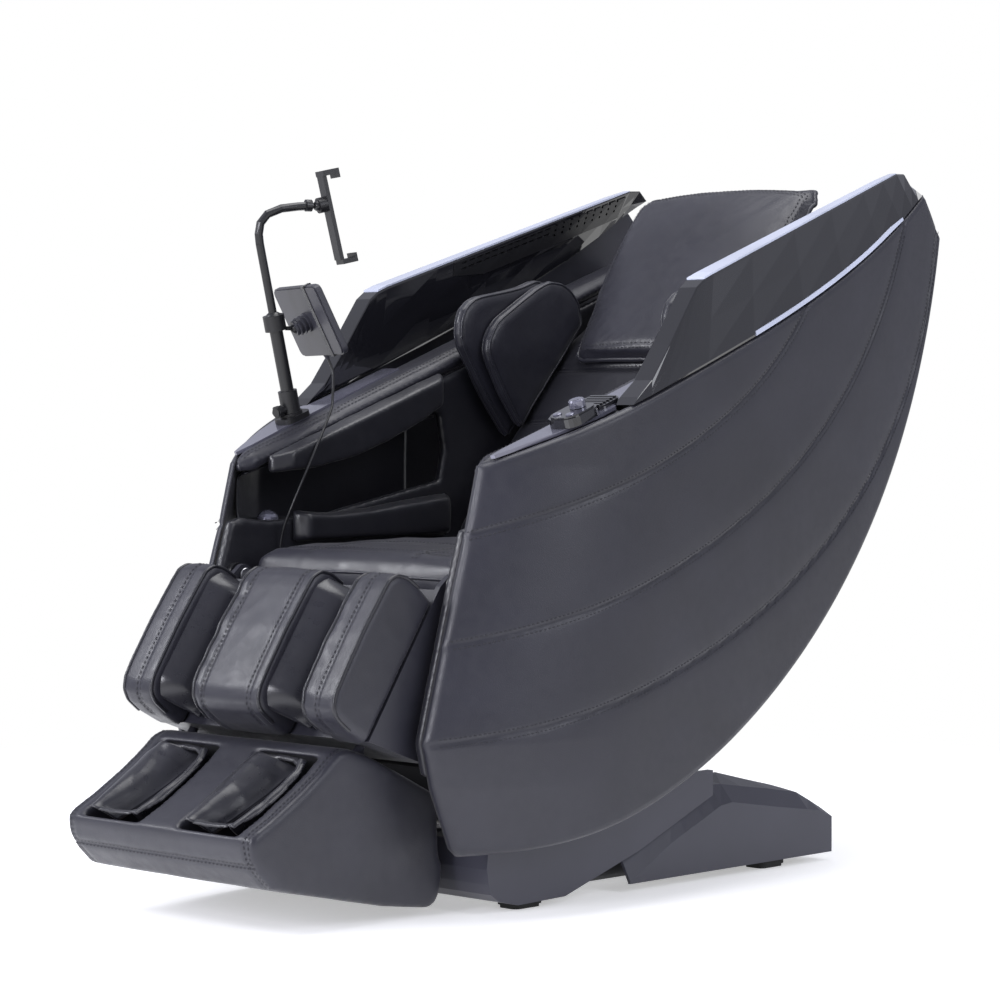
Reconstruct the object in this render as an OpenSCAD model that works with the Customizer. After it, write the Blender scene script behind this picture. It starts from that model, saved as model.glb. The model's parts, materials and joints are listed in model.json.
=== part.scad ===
// Massage chair: two padded side shells on a sliding, tilting seat, a reclining back with a
// roller carriage, arm and calf channels, a telescoping foot unit and a remote on a pole.
// Frame: +Z up, the chair faces -Y, the sitter's left is +X, origin under the footprint's centre.

/* [Seat and back] */
// Half of the seat cushion's width
seat_half = 238; // [225:1:240]
// How far the seat cushion's middle stands above its edges
seat_crown = 12; // [6:1:18]
// Half of the back pad's width
back_half = 236; // [220:1:240]
// Thickness of the head pillow at its middle
pillow_t = 62; // [45:1:70]

/* [Leg rest] */
// Width of the pad between the two calves
calf_mid_w = 155; // [140:1:165]
// Depth of the calf channels
calf_channel_d = 88; // [70:1:92]
// Radius of the foot rollers' knobs
foot_roller_r = 17; // [13:0.5:19]

/* [Arms] */
// Thickness of the shells' padded skin
skin_t = 14; // [10:1:16]
// Thickness of the gloss side panels
gloss_t = 38; // [30:1:38]
// Radius of the control knob
knob_r = 13; // [10:0.5:15]

/* [Stand] */
// Radius of the pole's lower tube
pole_r = 11; // [9:0.5:13]
// Width of the remote
remote_w = 190; // [170:1:200]
// Height of the remote
remote_h = 125; // [110:1:130]
// Length of the telephone clamp's bar
phone_bar = 150; // [120:1:160]
// Radius of the remote's cord
cord_r = 2.3; // [1.8:0.1:2.6]

/* [Base] */
// Radius of the transport wheels
wheel_r = 27; // [22:1:28]
// Radius of the massage balls
ball_r = 20; // [16:0.5:21]

/* [Hidden] */
part_gap = 0.05;
$fn = 40;
back_tip = [0, 248, 717];
back_tilt = 50;
leg_tip = [0, -489, 521];
leg_tilt = 56.2;
arm_tip = [0, -341, 686];
arm_slope = 20.1;
tilt_pin = [-100, 250];
back_pin = [158, 470];
leg_pin = [-360, 500];
// a hinge centre as seen in a leaning part's own directions
function seen(tip, tilt, p) = let (d = p - [tip[1], tip[2]])
  [d[0] * cos(tilt) + d[1] * sin(tilt), d[1] * cos(tilt) - d[0] * sin(tilt)];
back_eye = seen(back_tip, back_tilt, back_pin);
leg_eye = seen(leg_tip, leg_tilt, leg_pin);
channel_floor = -calf_channel_d - 7;
pole_foot = [-310, -186, 756];
pole_lean = 14;
remote_turn = 21;
remote_lean = 26;
remote_ball = [-297, -190, 902];
phone_ball = [-266, -167, 1105];
phone_lean = 13;
pole_bend = [[-310, -256.8, 1040], [-309.5, -259.5, 1056], [-307, -258, 1074], [-301, -248, 1089], [-291, -226, 1099],
  [-280, -199, 1103], [-272, -181, 1104.5]];
cord_path = [[-276.1, -135.56, 852], [-275.3, -133.5, 847.5], [-273, -130, 837], [-269.5, -130, 822], [-264, -135, 805], [-257, -143, 788], [-248, -153, 772],
  [-237, -171, 755], [-228, -188, 738], [-221.5, -204, 720], [-218, -220, 698], [-217.5, -234, 674], [-219, -246, 650], [-223, -256, 626],
  [-230, -263, 602], [-239, -267, 578], [-246, -268, 554], [-249, -268, 530], [-250, -268, 508], [-250, -268, 492], [-250, -268, 478]];
pin_gap = 0.05;

// ---------- curves ----------
function mix(a, b, t) = a + (b - a) * t;
function bez(p, t) = pow(1 - t, 3) * p[0] + 3 * pow(1 - t, 2) * t * p[1] + 3 * (1 - t) * t * t * p[2] + t * t * t * p[3];
function arc(c, r, a0, a1, n) = [for (i = [0:n]) c + r * [cos(mix(a0, a1, i / n)), sin(mix(a0, a1, i / n))]];
function slab_box(w, h, r, n = 5) = concat(
  arc([w / 2 - r, h / 2 - r], r, 0, 90, n), arc([r - w / 2, h / 2 - r], r, 90, 180, n),
  arc([r - w / 2, r - h / 2], r, 180, 270, n), arc([w / 2 - r, r - h / 2], r, 270, 360, n));

// ---------- building helpers ----------
module box(a, b) translate(a) cube(b - a);
module pair() { children(); mirror([1, 0, 0]) children(); }
// a rod along X between x0 and x1, centred on [y, z]
module rod(c, r, x0, x1) translate([x0, c[0], c[1]]) rotate([0, 90, 0]) cylinder(h = x1 - x0, r = r);
// a plate in the YZ plane, t thick from x
module plate(x, t, outline) translate([x, 0, 0]) rotate([90, 0, 90]) linear_extrude(t) polygon(outline);
module on_back() translate(back_tip) rotate([back_tilt, 0, 0]) children();
module on_leg() translate(leg_tip) rotate([leg_tilt, 0, 0]) children();
module on_arm() translate(arm_tip) rotate([arm_slope, 0, 0]) children();
// a closed skin over two grids of points, rows of equal length
module skin(top, bottom) {
  rows = len(top);
  cols = len(top[0]);
  n = rows * cols;
  polyhedron(
    points = concat([for (r = top) each r], [for (r = bottom) each r]),
    faces = concat(
      [for (i = [0:rows - 2], j = [0:cols - 2]) let (p = i * cols + j)
        each [[p, p + cols, p + cols + 1], [p, p + cols + 1, p + 1],
          [p + n, p + n + cols + 1, p + n + cols], [p + n, p + n + 1, p + n + cols + 1]]],
      [for (j = [0:cols - 2]) let (e = (rows - 1) * cols)
        each [[n + j, j, j + 1], [n + j, j + 1, n + j + 1],
          [n + e + j, e + j + 1, e + j], [n + e + j, n + e + j + 1, e + j + 1]]],
      [for (i = [0:rows - 2]) let (a = i * cols, b = a + cols, c = a + cols - 1, d = b + cols - 1)
        each [[n + b, b, a], [n + b, a, n + a], [n + c, c, d], [n + c, d, n + d]]]));
}
// a round bar swept along a path, its ends square
module swept(path, r, sides) {
  m = len(path);
  rings = [for (i = [0:m - 1]) let (d = path[min(i + 1, m - 1)] - path[max(i - 1, 0)], t = d / norm(d),
      c = cross([0.9, 0.35, 0.1], t), u = c / norm(c), w = cross(t, u))
    [for (k = [0:sides - 1]) path[i] + r * (cos(360 * k / sides) * u + sin(360 * k / sides) * w)]];
  polyhedron(points = [for (g = rings) each g],
    faces = concat([[for (k = [0:sides - 1]) k]],
      [for (i = [0:m - 2], k = [0:sides - 1]) let (a = i * sides + k, b = i * sides + (k + 1) % sides)
        each [[a, b + sides, b], [a, a + sides, b + sides]]],
      [[for (k = [sides - 1:-1:0]) (m - 1) * sides + k]]));
}
// a crowned pad: w wide on X, from y0 to y1, its rim rounded over and its middle raised
module pad(w, y0, y1, z0, z1, crown, rim = 16, cols = 12, rows = 10, grooves = [], groove_d = 5) {
  us = concat([0, 0.3, 1], [for (i = [1:cols - 1]) 1 + i], [cols + 0, cols + 0.7, cols + 1]);
  vs = concat([0, 0.3, 1], [for (i = [1:rows - 1]) 1 + i], [rows + 0, rows + 0.7, rows + 1]);
  function at(k, n, lo, hi) = k <= 1 ? lo + rim * k : k >= n ? hi - rim * (n + 1 - k) : mix(lo + rim, hi - rim, (k - 1) / (n - 1));
  function dip(y) = max([0, for (g = grooves) max(0, 1 - abs(y - g) / 9)]);
  function edge(d) = d >= rim ? 1 : sqrt(1 - pow(1 - d / rim, 2));
  function grid(sgn) = [for (v = vs) let (y = at(v, rows, y0, y1)) [for (u = us)
    let (x = at(u, cols, -w / 2, w / 2), d = min(w / 2 - abs(x), y - y0, y1 - y),
      m = (1 - pow(2 * x / w, 2)) * (1 - pow((2 * y - y0 - y1) / (y1 - y0), 2)))
    [x, y, sgn > 0 ? mix(mix(z0, z1, 0.35), z1, edge(d)) + crown * m - groove_d * dip(y) * edge(d)
      : mix(mix(z0, z1, 0.35) - 0.4, z0, edge(d))]]];
  skin(grid(1), grid(-1));
}
// a headed pivot pin pointing in from a wall at x
module pivot_pin(c, x, len, r) {
  translate([x, c[0], c[1]]) rotate([0, -90, 0]) rotate_extrude($fn = 48)
    polygon([[0, 0], [r + 6, 0], [r + 6, 2], [r, 2], [r, len - 3], [r + 4, len - 3], [r + 4, len - 0.8],
      [r + 3.2, len], [0, len]]);
}

// ---------- base ----------
module base_frame() color([0.16, 0.16, 0.18]) {
  difference() {
    union() {
      pair() box([200, -262, 18], [230, 430, 48]);
      for (y = [-262, 150, 400]) box([-215, y, 18], [215, y + 30, 48]);
      pair() for (y = [-260, 150]) box([150, y, 48], [180, y + 26, 64]);
      pair() for (y = [-250, 345]) box([200, y, 12], [268, y + 64, 18]);
      pair() plate(244, 6, [[430, 12], [462, 12], arc([484, 34], 16, -60, 120, 8)[0], each arc([484, 34], 16, -60, 120, 8), [430, 48]]);
      pair() plate(202, 6, [[425, 20], [462, 20], each arc([484, 34], 16, -60, 120, 8), [425, 48]]);
      pair() box([202, 425, 20], [250, 431, 48]);
    }
    rod([484, 34], 6, -260, 260);
  }
}
module base_skirt() color([0.28, 0.28, 0.32]) {
  front = [[-326, 71], [-322, 48], [-317, 32], [-300, 20], [-258, 10]];
  pair() plate(268, 12, concat(front, [[-152, 12], [23, 66], [203, 138], [203, 179], [-100, 179], [-290, 150], [-322, 112]]));
  plate(-268, 536, concat([[-322, 112]], front, [[-252, 9], [-252, 13], [-258, 14], [-299, 24], [-313, 34], [-318, 50],
    [-322, 71], [-318, 111]]));
}
module base_rear_cover() {
  side = [[0, 18, 64, 62], [40, 38, 84, 88], [96, 68, 110, 112], [133, 83, 131, 133], [177, 100, 142, 145], [206, 112, 149, 151],
    [224, 119, 151, 153], [252, 122, 150, 157], [303, 114, 142, 161], [380, 102, 131, 143], [451, 92, 119, 127],
    [485, 87, 103, 118], [517, 74, 87, 108]];
  // the wings beside the rails
  function outer(s) = [[280, s[0], 14], [280, s[0], s[1]], [255, s[0], s[2]], [200, s[0], s[3]]];
  function inner(s) = [[275, s[0], 14], [275, s[0], s[1] - 2], [253, s[0], s[2] - 4.5], [200, s[0], s[3] - 4.5]];
  color([0.28, 0.28, 0.32]) pair() mirror([1, 0, 0]) skin([for (s = side) [for (p = outer(s)) [-p[0], p[1], p[2]]]],
    [for (s = side) [for (p = inner(s)) [-p[0], p[1], p[2]]]]);
  // the deck over the power unit and the rear wall
  color([0.28, 0.28, 0.32]) difference() {
    union() {
      plate(-200, 400, [[345, 151], [380, 143], [451, 127], [485, 118], [517, 108], [517, 103], [485, 113], [451, 122], [380, 138], [345, 146]]);
      translate([0, 517, 0]) rotate([90, 0, 0]) linear_extrude(4)
        polygon([[-276, 40], [276, 40], [276, 72], [254, 84], [200, 104], [-200, 104], [-254, 84], [-276, 72]]);
      box([-117, 503, 54], [-87, 514, 86]);
    }
    box([-76, 505, 58], [-44, 520, 82]);
    box([-113, 502, 58], [-91, 520, 82]);
    rod([508, 70], 1.55, -115, -89);
  }
}
module base_feet() color([0.08, 0.08, 0.08])
  pair() for (y = [-218, 377]) translate([245, y, 0]) {
    translate([0, 0, 5]) linear_extrude(7) polygon(slab_box(46, 64, 12));
    linear_extrude(5) polygon(slab_box(40, 58, 10));
  }
module wheel_axle() color([0.6, 0.6, 0.62]) rod([484, 34], 6, -262, 262);
module wheel() color([0.1, 0.1, 0.11])
  translate([226, 484, 34]) rotate([0, 90, 0]) rotate_extrude($fn = 64)
    polygon([[6.05, -14], [12, -14], [12, -6], [wheel_r - 6, -5], [wheel_r - 6, -12], [wheel_r - 1.5, -12],
      [wheel_r, -10.5], [wheel_r, 10.5], [wheel_r - 1.5, 12], [wheel_r - 6, 12], [wheel_r - 6, 5], [12, 6], [12, 14], [6.05, 14]]);
module wheels() pair() wheel();
module slide_rails() color([0.5, 0.51, 0.54])
  pair() difference() {
    box([150, -300, 64], [180, 330, 100]);
    box([157, -296, 70], [181, 326, 94]);
  }
module power_unit() color([0.35, 0.36, 0.38]) difference() {
  box([-120, 340, 48], [30, 420, 112]);
  for (x = [-105:12:15]) box([x, 339, 60], [x + 5, 343, 100]);
}
module power_inlet() color([0.12, 0.12, 0.12]) difference() {
  union() {
    box([-75.8, 495, 58.2], [-44.2, 517, 81.8]);
    translate([-60, 519.5, 70]) rotate([90, 0, 0]) linear_extrude(2.5) polygon(slab_box(44, 30, 4));
  }
  box([-72, 500, 61], [-48, 521, 79]);
  for (x = [-67, -60, -53]) box([x - 1, 494, 66], [x + 1, 501, 74]);
}
module power_switch() color([0.7, 0.12, 0.1]) {
  translate([-102, 505, 70]) rotate([0, 90, 0]) linear_extrude(20, center = true)
    polygon([[-5, 0], [5, 0], [10.2, 10], [10.2, 13.5], [0, 11.5], [-10.2, 16], [-10.2, 10]]);
  rod([508, 70], 1.5, -114.5, -89.5);
}
module air_pump() color([0.3, 0.3, 0.33]) {
  box([45, 345, 48], [125, 415, 58]);
  rod([380, 84], 27, 50, 120);
  rod([380, 84], 9, 44, 126);
}

// ---------- sliding carriage ----------
module slide_carriage() color([0.2, 0.2, 0.22]) {
  pair() difference() {
    plate(184, 10, [[-194, 74], [160, 74], [160, 104], [20, 132], each arc(tilt_pin, 30, 20, 160, 10), [-184, 128], [-194, 110]]);
    rod([-20, 108], 14, 183, 195);
  }
  rod([-165, 114], 12, -184.5, 184.5);
  rod([40, 115], 8, -184.5, 184.5);
  rod([-100, 190], 12, -184.5, 184.5);
  pair() for (y = [-150, 120]) rod([y, 82], 5, 166, 184);
}
module slide_rollers() color([0.75, 0.75, 0.72])
  pair() for (y = [-150, 120]) difference() {
    rod([y, 82], 11.7, 164, 179);
    rod([y, 82], 5.05, 163, 180);
  }
module seat_pivot_pins() color([0.6, 0.6, 0.62]) pair() translate([388, 0, 0]) mirror([1, 0, 0]) pivot_pin(tilt_pin, 194, 25, 12);

// ---------- seat ----------
module seat_frame() color([0.14, 0.14, 0.15]) {
  pair() difference() {
    union() {
      plate(246, 9.7, [[-330, 400], [-300, 380], [165, 380], [190, 440], [182, 478], [150, 496], [110, 452], [-300, 452], [-335, 500], [-380, 500],
        [-376, 470]]);
      rod(back_pin, 28, 246, 255.7);
      rod(leg_pin, 20, 246, 255.7);
    }
    for (y = [-220, -80, 60]) rod([y, 416], 18, 245, 257);
  }
  box([-246, -330, 448], [246, 140, 454]);
  // grommet the remote's cord runs into
  translate([-250, -268, 452]) rotate_extrude($fn = 40) polygon([[0, -1], [3.9, -1], [3.9, 18], [3.2, 26], [0, 26]]);
  for (y = [-320, -150, 0, 120]) box([-246, y, 418], [246, y + 20, 448]);
  pair() difference() {
    union() {
      plate(199, 10, [[-170, 448], [-30, 448], [-66, 300], each arc(tilt_pin, 26, 10, -190, 14), [-134, 300]]);
    }
    rod(tilt_pin, 12 + pin_gap, 198, 210);
    rod([-100, 385], 22, 198, 210);
  }
}
module frame_pivot_pins() color([0.6, 0.6, 0.62]) pair() {
  pivot_pin(back_pin, 246, 19, 10);
  pivot_pin(leg_pin, 246, 19, 8);
}
module seat_cushion() color([0.12, 0.12, 0.14])
  pad(2 * seat_half, -340, 138, 454.4, 543, seat_crown, 30, 12, 10, [-190, -60, 60], 5);

// ---------- sides ----------
front_edge = [[60, -384], [98, -389], [111, -404], [204, -444], [272, -460], [381, -429], [483, -400], [587, -368], [682, -343]];
low_line = [[-389, 98], [180, 125], [653, 573], [741, 1069]];
top_line = [[-343, 682], [-8, 824], [424, 943], [684, 1136]];
function reach(y, z) = let (f = lookup(z, front_edge)) (y - f) / (754 - f);
function bulge(y, z) = let (u = max(0, reach(y, z)))
  u < 0.3 ? 288 + 109 * (1 - pow(1 - u / 0.3, 2.6)) : 397 - 57 * pow((u - 0.3) / 0.7, 2);
// a point of the shell between its four edge lines
function shell_at(s, t) = let (b = bez(low_line, s), a = bez(top_line, s),
    zf = mix(98, 682, t), f = [lookup(zf, front_edge), zf], r = mix(low_line[3], top_line[3], t),
    c = mix(mix(low_line[0], low_line[3], s), mix(top_line[0], top_line[3], s), t))
  mix(b, a, t) + mix(f, r, s) - c;
module left_side_shell() {
  ss = [for (i = [0:22]) pow(i / 22, 1.35)];
  ts = [for (i = [0:12]) i / 12];
  function grid(d) = [for (t = ts) [for (s = ss) let (p = shell_at(s, t)) [bulge(p[0], p[1]) - d, p[0], p[1]]]];
  color([0.24, 0.24, 0.28]) skin(grid(0), grid(skin_t));
}
module right_side_shell() mirror([1, 0, 0]) left_side_shell();
// the gloss panel: its foot follows the shell's top line, its crest leans in towards the rear
panel_foot = [0.215, 0.25, 0.28, 0.31, 0.333, 0.35, 0.37, 0.475, 0.6, 0.71, 0.825, 0.905, 0.95, 0.975, 0.992];
panel_crest = concat([[-104, 786], [-72, 812], [-30, 868], [8, 922], [34, 958], [52, 971]],
  [for (y = [74, 187, 315, 430, 535, 600, 648]) [y, 980 + 0.334 * (y - 74)]], [[673, 1173], [690, 1156]]);
function rim_z(y) = lookup(y, [for (k = [0:20]) bez(top_line, k / 20)]);
function crest_x(y) = 388 - 0.128 * max(0, y - 72);
function panel_t(y) = y < 74 ? gloss_t : mix(gloss_t, 16, (y - 74) / 616);
function face_x(y, z) = let (zb = rim_z(y), zc = 980 + 0.334 * (y - 74), f = max(0, min(1, (z - zb) / (zc - zb))))
  mix(bulge(y, zb) - 3, crest_x(y), f);
module gloss_panel() {
  n = len(panel_foot) - 1;
  function at(i, k) = let (b = bez(top_line, panel_foot[i]) + [0, 2.5], c = panel_crest[i], q = mix(b, c, k))
    [mix(bulge(b[0], b[1]) - 3, crest_x(c[0]), k), q[0], q[1]];
  function grid(in) = [for (k = [0, 0.03, 0.5, 0.97, 1]) [for (i = [0:n]) let (e = (k == 0 || k == 1) ? 1.6 : 0, a = at(i, k))
    a - [in ? panel_t(a[1]) - e : e, 0, 0]]];
  color([0.05, 0.05, 0.06]) difference() {
    skin(grid(false), grid(true));
    accent_band(part_gap);
    grille_bar(part_gap);
  }
}
module gloss_panels() pair() gloss_panel();
module light_strip() {
  ys = [for (p = panel_crest) if (p[0] > 40) p];
  function row(p, up) = let (x = crest_x(p[0]), z = p[1] + up) [[x - panel_t(p[0]) + 1, p[0], z], [x - 1, p[0], z]];
  color([0.82, 0.84, 0.93]) skin([for (i = [0:7]) row(ys[i], i == 7 ? 1 : 3.2)], [for (i = [0:7]) row(ys[i], 0.04)]);
}
module light_strips() pair() light_strip();
// the band's seat in the panel is wider than the band by the gap g
module accent_band(g) {
  ys = [for (i = [0:12]) mix(176 - g, 612 + g, i / 12)];
  function row(h, out) = [for (y = ys) let (z = rim_z(y) + h * (y > 600 ? 0.6 : 1)) [face_x(y, z) + out, y, z]];
  skin([row(3.5 - g, 1.4 + 60 * g), row(11 + g, 1.4 + 60 * g)], [row(3.5 - g, -2 - g), row(11 + g, -2 - g)]);
}
module accent_strip() color([0.8, 0.82, 0.92]) accent_band(0);
module accent_strips() pair() accent_strip();
module arm_wall() color([0.13, 0.13, 0.15])
  plate(256, 17.7, concat(
    [[-40, 750], [67, 772], [110, 762], [122, 700], [110, 645], [-183, 589], [-289, 585], [-343, 592]],
    [for (z = [585, 483, 381, 272, 222]) [lookup(z, front_edge) + 1, z]],
    [[-400, 214], [-100, 212], [60, 250], [140, 285], [276, 345], [434, 480], [570, 650], [640, 800], [668, 930],
      [640, 1012], [-40, 765]]));
module arm_walls() pair() arm_wall();
module arm_tunnel() {
  cut = [[-322, 0], [-240, 14], [-120, 28], [0, 42], [112, 58]];
  function outer(c) = let (x = min(346, bulge(c[0], 640 + c[1]) - skin_t - 3))
    [[274.2, c[0], 583], [x - 10, c[0], 583], [x, c[0], 596], [x, c[0], 650 + c[1]], [x - 10, c[0], 662 + c[1] * 1.6],
      [274.2, c[0], 664 + c[1] * 1.6]];
  function inner(c) = let (x = min(346, bulge(c[0], 640 + c[1]) - skin_t - 3))
    [[274.2, c[0], 586], [x - 12, c[0], 586], [x - 3.5, c[0], 598], [x - 3.5, c[0], 648 + c[1]], [x - 12, c[0], 659 + c[1] * 1.6],
      [274.2, c[0], 661 + c[1] * 1.6]];
  color([0.1, 0.1, 0.11]) skin([for (c = cut) inner(c)], [for (c = cut) outer(c)]);
}
module arm_tunnels() pair() arm_tunnel();
module upper_arm_pad() {
  ys = [-290, -262, -200, -120, -40, 40, 84, 104];
  function low(y) = lookup(y, [[-290, 664], [-239, 668], [-161, 672], [0, 724], [102, 778]]);
  function grid(s) = [for (y = ys) let (l = low(y), h = 674 + (y + 341) * 0.355, e = (y < -280 || y > 95) ? 0.35 : 1)
    [for (t = [0, 0.08, 0.3, 0.6, 0.9, 1]) let (k = (t == 0 || t == 1) ? 0.25 : 1)
      [s > 0 ? 255.7 : 255.7 - 31 * e * k - 1, y, mix(l, h, t)]]];
  color([0.12, 0.12, 0.14]) skin(grid(-1), grid(1));
}
module upper_arm_pads() pair() upper_arm_pad();
module lower_arm_pad() {
  ys = [-236, -222, -160, -80, 0, 70, 104, 118];
  function top(y) = lookup(y, [[-236, 602], [-183, 595], [-100, 600], [118, 625]]);
  function grid(s) = [for (y = ys) let (e = (y < -230 || y > 112) ? 0.35 : 1)
    [for (t = [0, 0.1, 0.4, 0.7, 0.9, 1]) let (k = (t == 0 || t == 1) ? 0.2 : 1)
      [s > 0 ? 255.7 : 255.7 - 30 * e * k - 1, y, mix(550, top(y), t)]]];
  color([0.12, 0.12, 0.14]) skin(grid(-1), grid(1));
}
module lower_arm_pads() pair() lower_arm_pad();
module armrest() {
  ys = [-341, -334, -315, -280, -235, -190, -140, -114, -110, -40, 80, 200, 320, 440, 560, 636];
  function outer(y) = min(bulge(y, 660 + (y + 341) * 0.35) - skin_t - 2, y > -112 ? bulge(y, rim_z(y)) - 9 - panel_t(y) : 400);
  function grid(s) = [for (y = ys) let (a = y < -330 ? 266 : 256, b = max(a + 8, outer(y)), z = 686 + (y + 341) * 0.366,
      e = y < -338 ? 0 : y < -330 ? 0.6 : 1)
    [for (t = [0, 0.08, 0.25, 0.5, 0.75, 0.92, 1]) let (k = 1 - pow(abs(2 * t - 1), 5))
      [mix(a, b, t), y, s > 0 ? z - 14 + (14 + 4 * (1 - pow(2 * t - 1, 2))) * k * mix(0.3, 1, e) : z - 15 - 12 * e * min(1, k * 2)]]];
  color([0.2, 0.2, 0.24]) skin(grid(1), grid(-1));
}
module armrests() pair() armrest();
module armrest_inlay() color([0.7, 0.7, 0.8])
  on_arm() translate([0, 0, 1]) linear_extrude(5.5)
    polygon([[289, 16], [296, 18], [308, 44], [322, 78], [338, 116], [350, 156], [358, 200], [359, 232], [356, 237], [347, 240], [345, 330],
      [343, 425], [304, 425], [300, 330], [297, 230], [292, 120], [287, 50]]);
module armrest_inlays() pair() armrest_inlay();
module hand_domes() color([0.6, 0.6, 0.68])
  pair() translate([293, -256, 586.05]) rotate_extrude($fn = 48)
    polygon([[0, 0], [18, 0], [18, 4], [15.5, 9], [11, 13], [5.5, 15.4], [0, 16]]);
module grille_bar(g) {
  rows = [for (h = [46 + g, 8 - g]) [for (y = [225 - g, 300, 380, 460, 540, 600, 640 + g])
    let (z = 980 + 0.334 * (y - 74) - h * (y < 230 ? 0.6 : 1)) [face_x(y, z) - panel_t(y) + 2 + g, y, z]]];
  skin(rows, [for (r = rows) [for (p = r) p - [4.5 + 60 * g, 0, 0]]]);
}
module speaker_grilles() color([0.1, 0.1, 0.1]) pair() difference() {
  grille_bar(0);
  for (i = [0:11], j = [0, 1]) let (y = 240 + i * 18, z = 1014 + i * 6 + j * 10)
    plate(260, 120, [[y, z], [y + 13, z + 4.3], [y + 13, z + 7.3], [y, z + 3]]);
  for (i = [0:8], j = [0:2]) let (y = 466 + i * 19) rod([y, 1084 + i * 6.3 + j * 9], 2.4, 260, 380);
}
module control_pod() color([0.3, 0.3, 0.34])
  on_arm() translate([330, 168, 6.5]) difference() {
    union() {
      linear_extrude(14) polygon(slab_box(58, 76, 22));
      translate([0, 0, 14]) linear_extrude(3) polygon(slab_box(52, 70, 20));
    }
    translate([0, 14, 4]) cylinder(h = 20, r = 5.05);
    for (x = [-13, 13]) translate([x, -20, 9]) cylinder(h = 20, r = 7.2);
  }
module control_knob() color([0.72, 0.72, 0.78])
  on_arm() translate([330, 182, 6.5]) rotate_extrude($fn = 64)
    polygon([[0, 6.4], [5, 6.4], [5, 17.6], [knob_r, 17.6], [knob_r, 28], [knob_r - 2, 30], [knob_r - 4, 30.5], [0, 29.5]]);
module push_button(x) on_arm() translate([x, 148, 6.5]) rotate_extrude($fn = 48)
  polygon([[0, 13], [7, 13], [7, 18.5], [6, 19.3], [0, 19.6]]);
module recline_button() color([0.65, 0.65, 0.7]) push_button(317);
module leg_button() color([0.65, 0.65, 0.7]) push_button(343);
module wrist_pad() color([0.15, 0.15, 0.17])
  on_arm() {
    translate([314, 238, 6.5]) linear_extrude(6) polygon(slab_box(66, 52, 12));
    for (i = [0:5]) translate([314, 218 + i * 8, 12.4]) linear_extrude(2.3) polygon(slab_box(54, 4, 1.9));
  }

// ---------- stand, remote and telephone clamp ----------
module on_pole() translate(pole_foot) rotate([pole_lean, 0, 0]) children();
module at_ball(c, lean) translate(c) rotate([lean, 0, -remote_turn]) children();
module stand_clamp() color([0.1, 0.1, 0.11]) difference() {
  union() {
    on_arm() translate([-310, 169.5, 6.7]) {
      linear_extrude(9) polygon(slab_box(44, 56, 14));
      translate([0, 0, 9]) cylinder(h = 5, r = 19);
    }
    on_pole() {
      cylinder(h = 44, r = pole_r + 5);
      translate([0, 0, 14]) rotate([90, 0, 0]) cylinder(h = pole_r + 12, r = 7);
    }
  }
  on_pole() translate([0, 0, 7.9]) cylinder(h = 40, r = pole_r + 0.05);
}
module clamp_screw() color([0.12, 0.12, 0.13])
  on_pole() translate([0, -pole_r - 12.2, 14]) rotate([90, 0, 0]) {
    linear_extrude(9) polygon([for (i = [0:23]) (i % 4 < 2 ? 11 : 9.6) * [cos(i * 15), sin(i * 15)]]);
    translate([0, 0, 9]) cylinder(h = 2, r = 8);
  }
module stand_pole() color([0.09, 0.09, 0.1]) {
  on_pole() {
    translate([0, 0, 8]) cylinder(h = 150, r = pole_r);
    translate([0, 0, 158]) rotate_extrude($fn = 48)
      polygon([[0, 0], [pole_r + 2.5, 0], [pole_r + 2.5, 14], [pole_r, 17], [8, 19], [0, 19]]);
    translate([0, 0, 174]) cylinder(h = 118.7, r = 7);
  }
  swept(pole_bend, 7, 12);
  phone_stud();
}
module remote_bracket() color([0.09, 0.09, 0.1]) {
  on_pole() translate([0, 0, 146.5]) difference() {
    cylinder(h = 26, r = pole_r + 7);
    translate([0, 0, -1]) cylinder(h = 13, r = pole_r + 0.05);
    translate([0, 0, 11]) cylinder(h = 17, r = pole_r + 2.55);
  }
  translate(remote_ball) rotate([0, 0, -remote_turn]) {
    sphere(r = 9);
    rotate([90, 0, 0]) cylinder(h = 17.5, r = 3.5);
  }
}
module remote_socket() at_ball(remote_ball, remote_lean) difference() {
  translate([0, 24, 0]) rotate([90, 0, 0]) rotate_extrude($fn = 48)
    polygon([[0, 0], [17, 0], [17, 4], [14, 5], [14, 8], [16, 9], [16, 12], [14, 13], [14, 16], [15.5, 17], [15.5, 20], [13.5, 21],
      [13.5, 24], [12.5, 27], [0, 27]]);
  sphere(r = 9.06);
  rotate([90, 0, 0]) cylinder(h = 20, r1 = 6, r2 = 17);
}
module remote_body() color([0.5, 0.5, 0.58]) {
  remote_socket();
  cord_gland();
  at_ball(remote_ball, remote_lean) translate([0, 37, 0]) rotate([90, 0, 0]) difference() {
    union() {
      translate([0, 0, 2.5]) linear_extrude(8) polygon(slab_box(remote_w, remote_h, 12));
      linear_extrude(2.5) polygon(slab_box(remote_w - 4, remote_h - 4, 10));
      translate([0, 0, 10.5]) linear_extrude(2.5) polygon(slab_box(remote_w - 5, remote_h - 5, 10));
    }
    translate([0, 0, -1]) linear_extrude(2.2) polygon(slab_box(remote_w - 16, remote_h - 16, 5));
  }
}
module remote_screen() color([0.02, 0.02, 0.03]) at_ball(remote_ball, remote_lean)
  translate([0, 37, 0]) rotate([90, 0, 0]) linear_extrude(1.2) polygon(slab_box(remote_w - 16, remote_h - 16, 5));
module remote_band() color([0.05, 0.05, 0.05]) at_ball(remote_ball, remote_lean) translate([0, 24, 0]) difference() {
  box([40, -1.2, -remote_h / 2 - 1.2], [52, 14.2, remote_h / 2 + 1.2]);
  box([39, 0, -remote_h / 2], [53, 13, remote_h / 2]);
}
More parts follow.
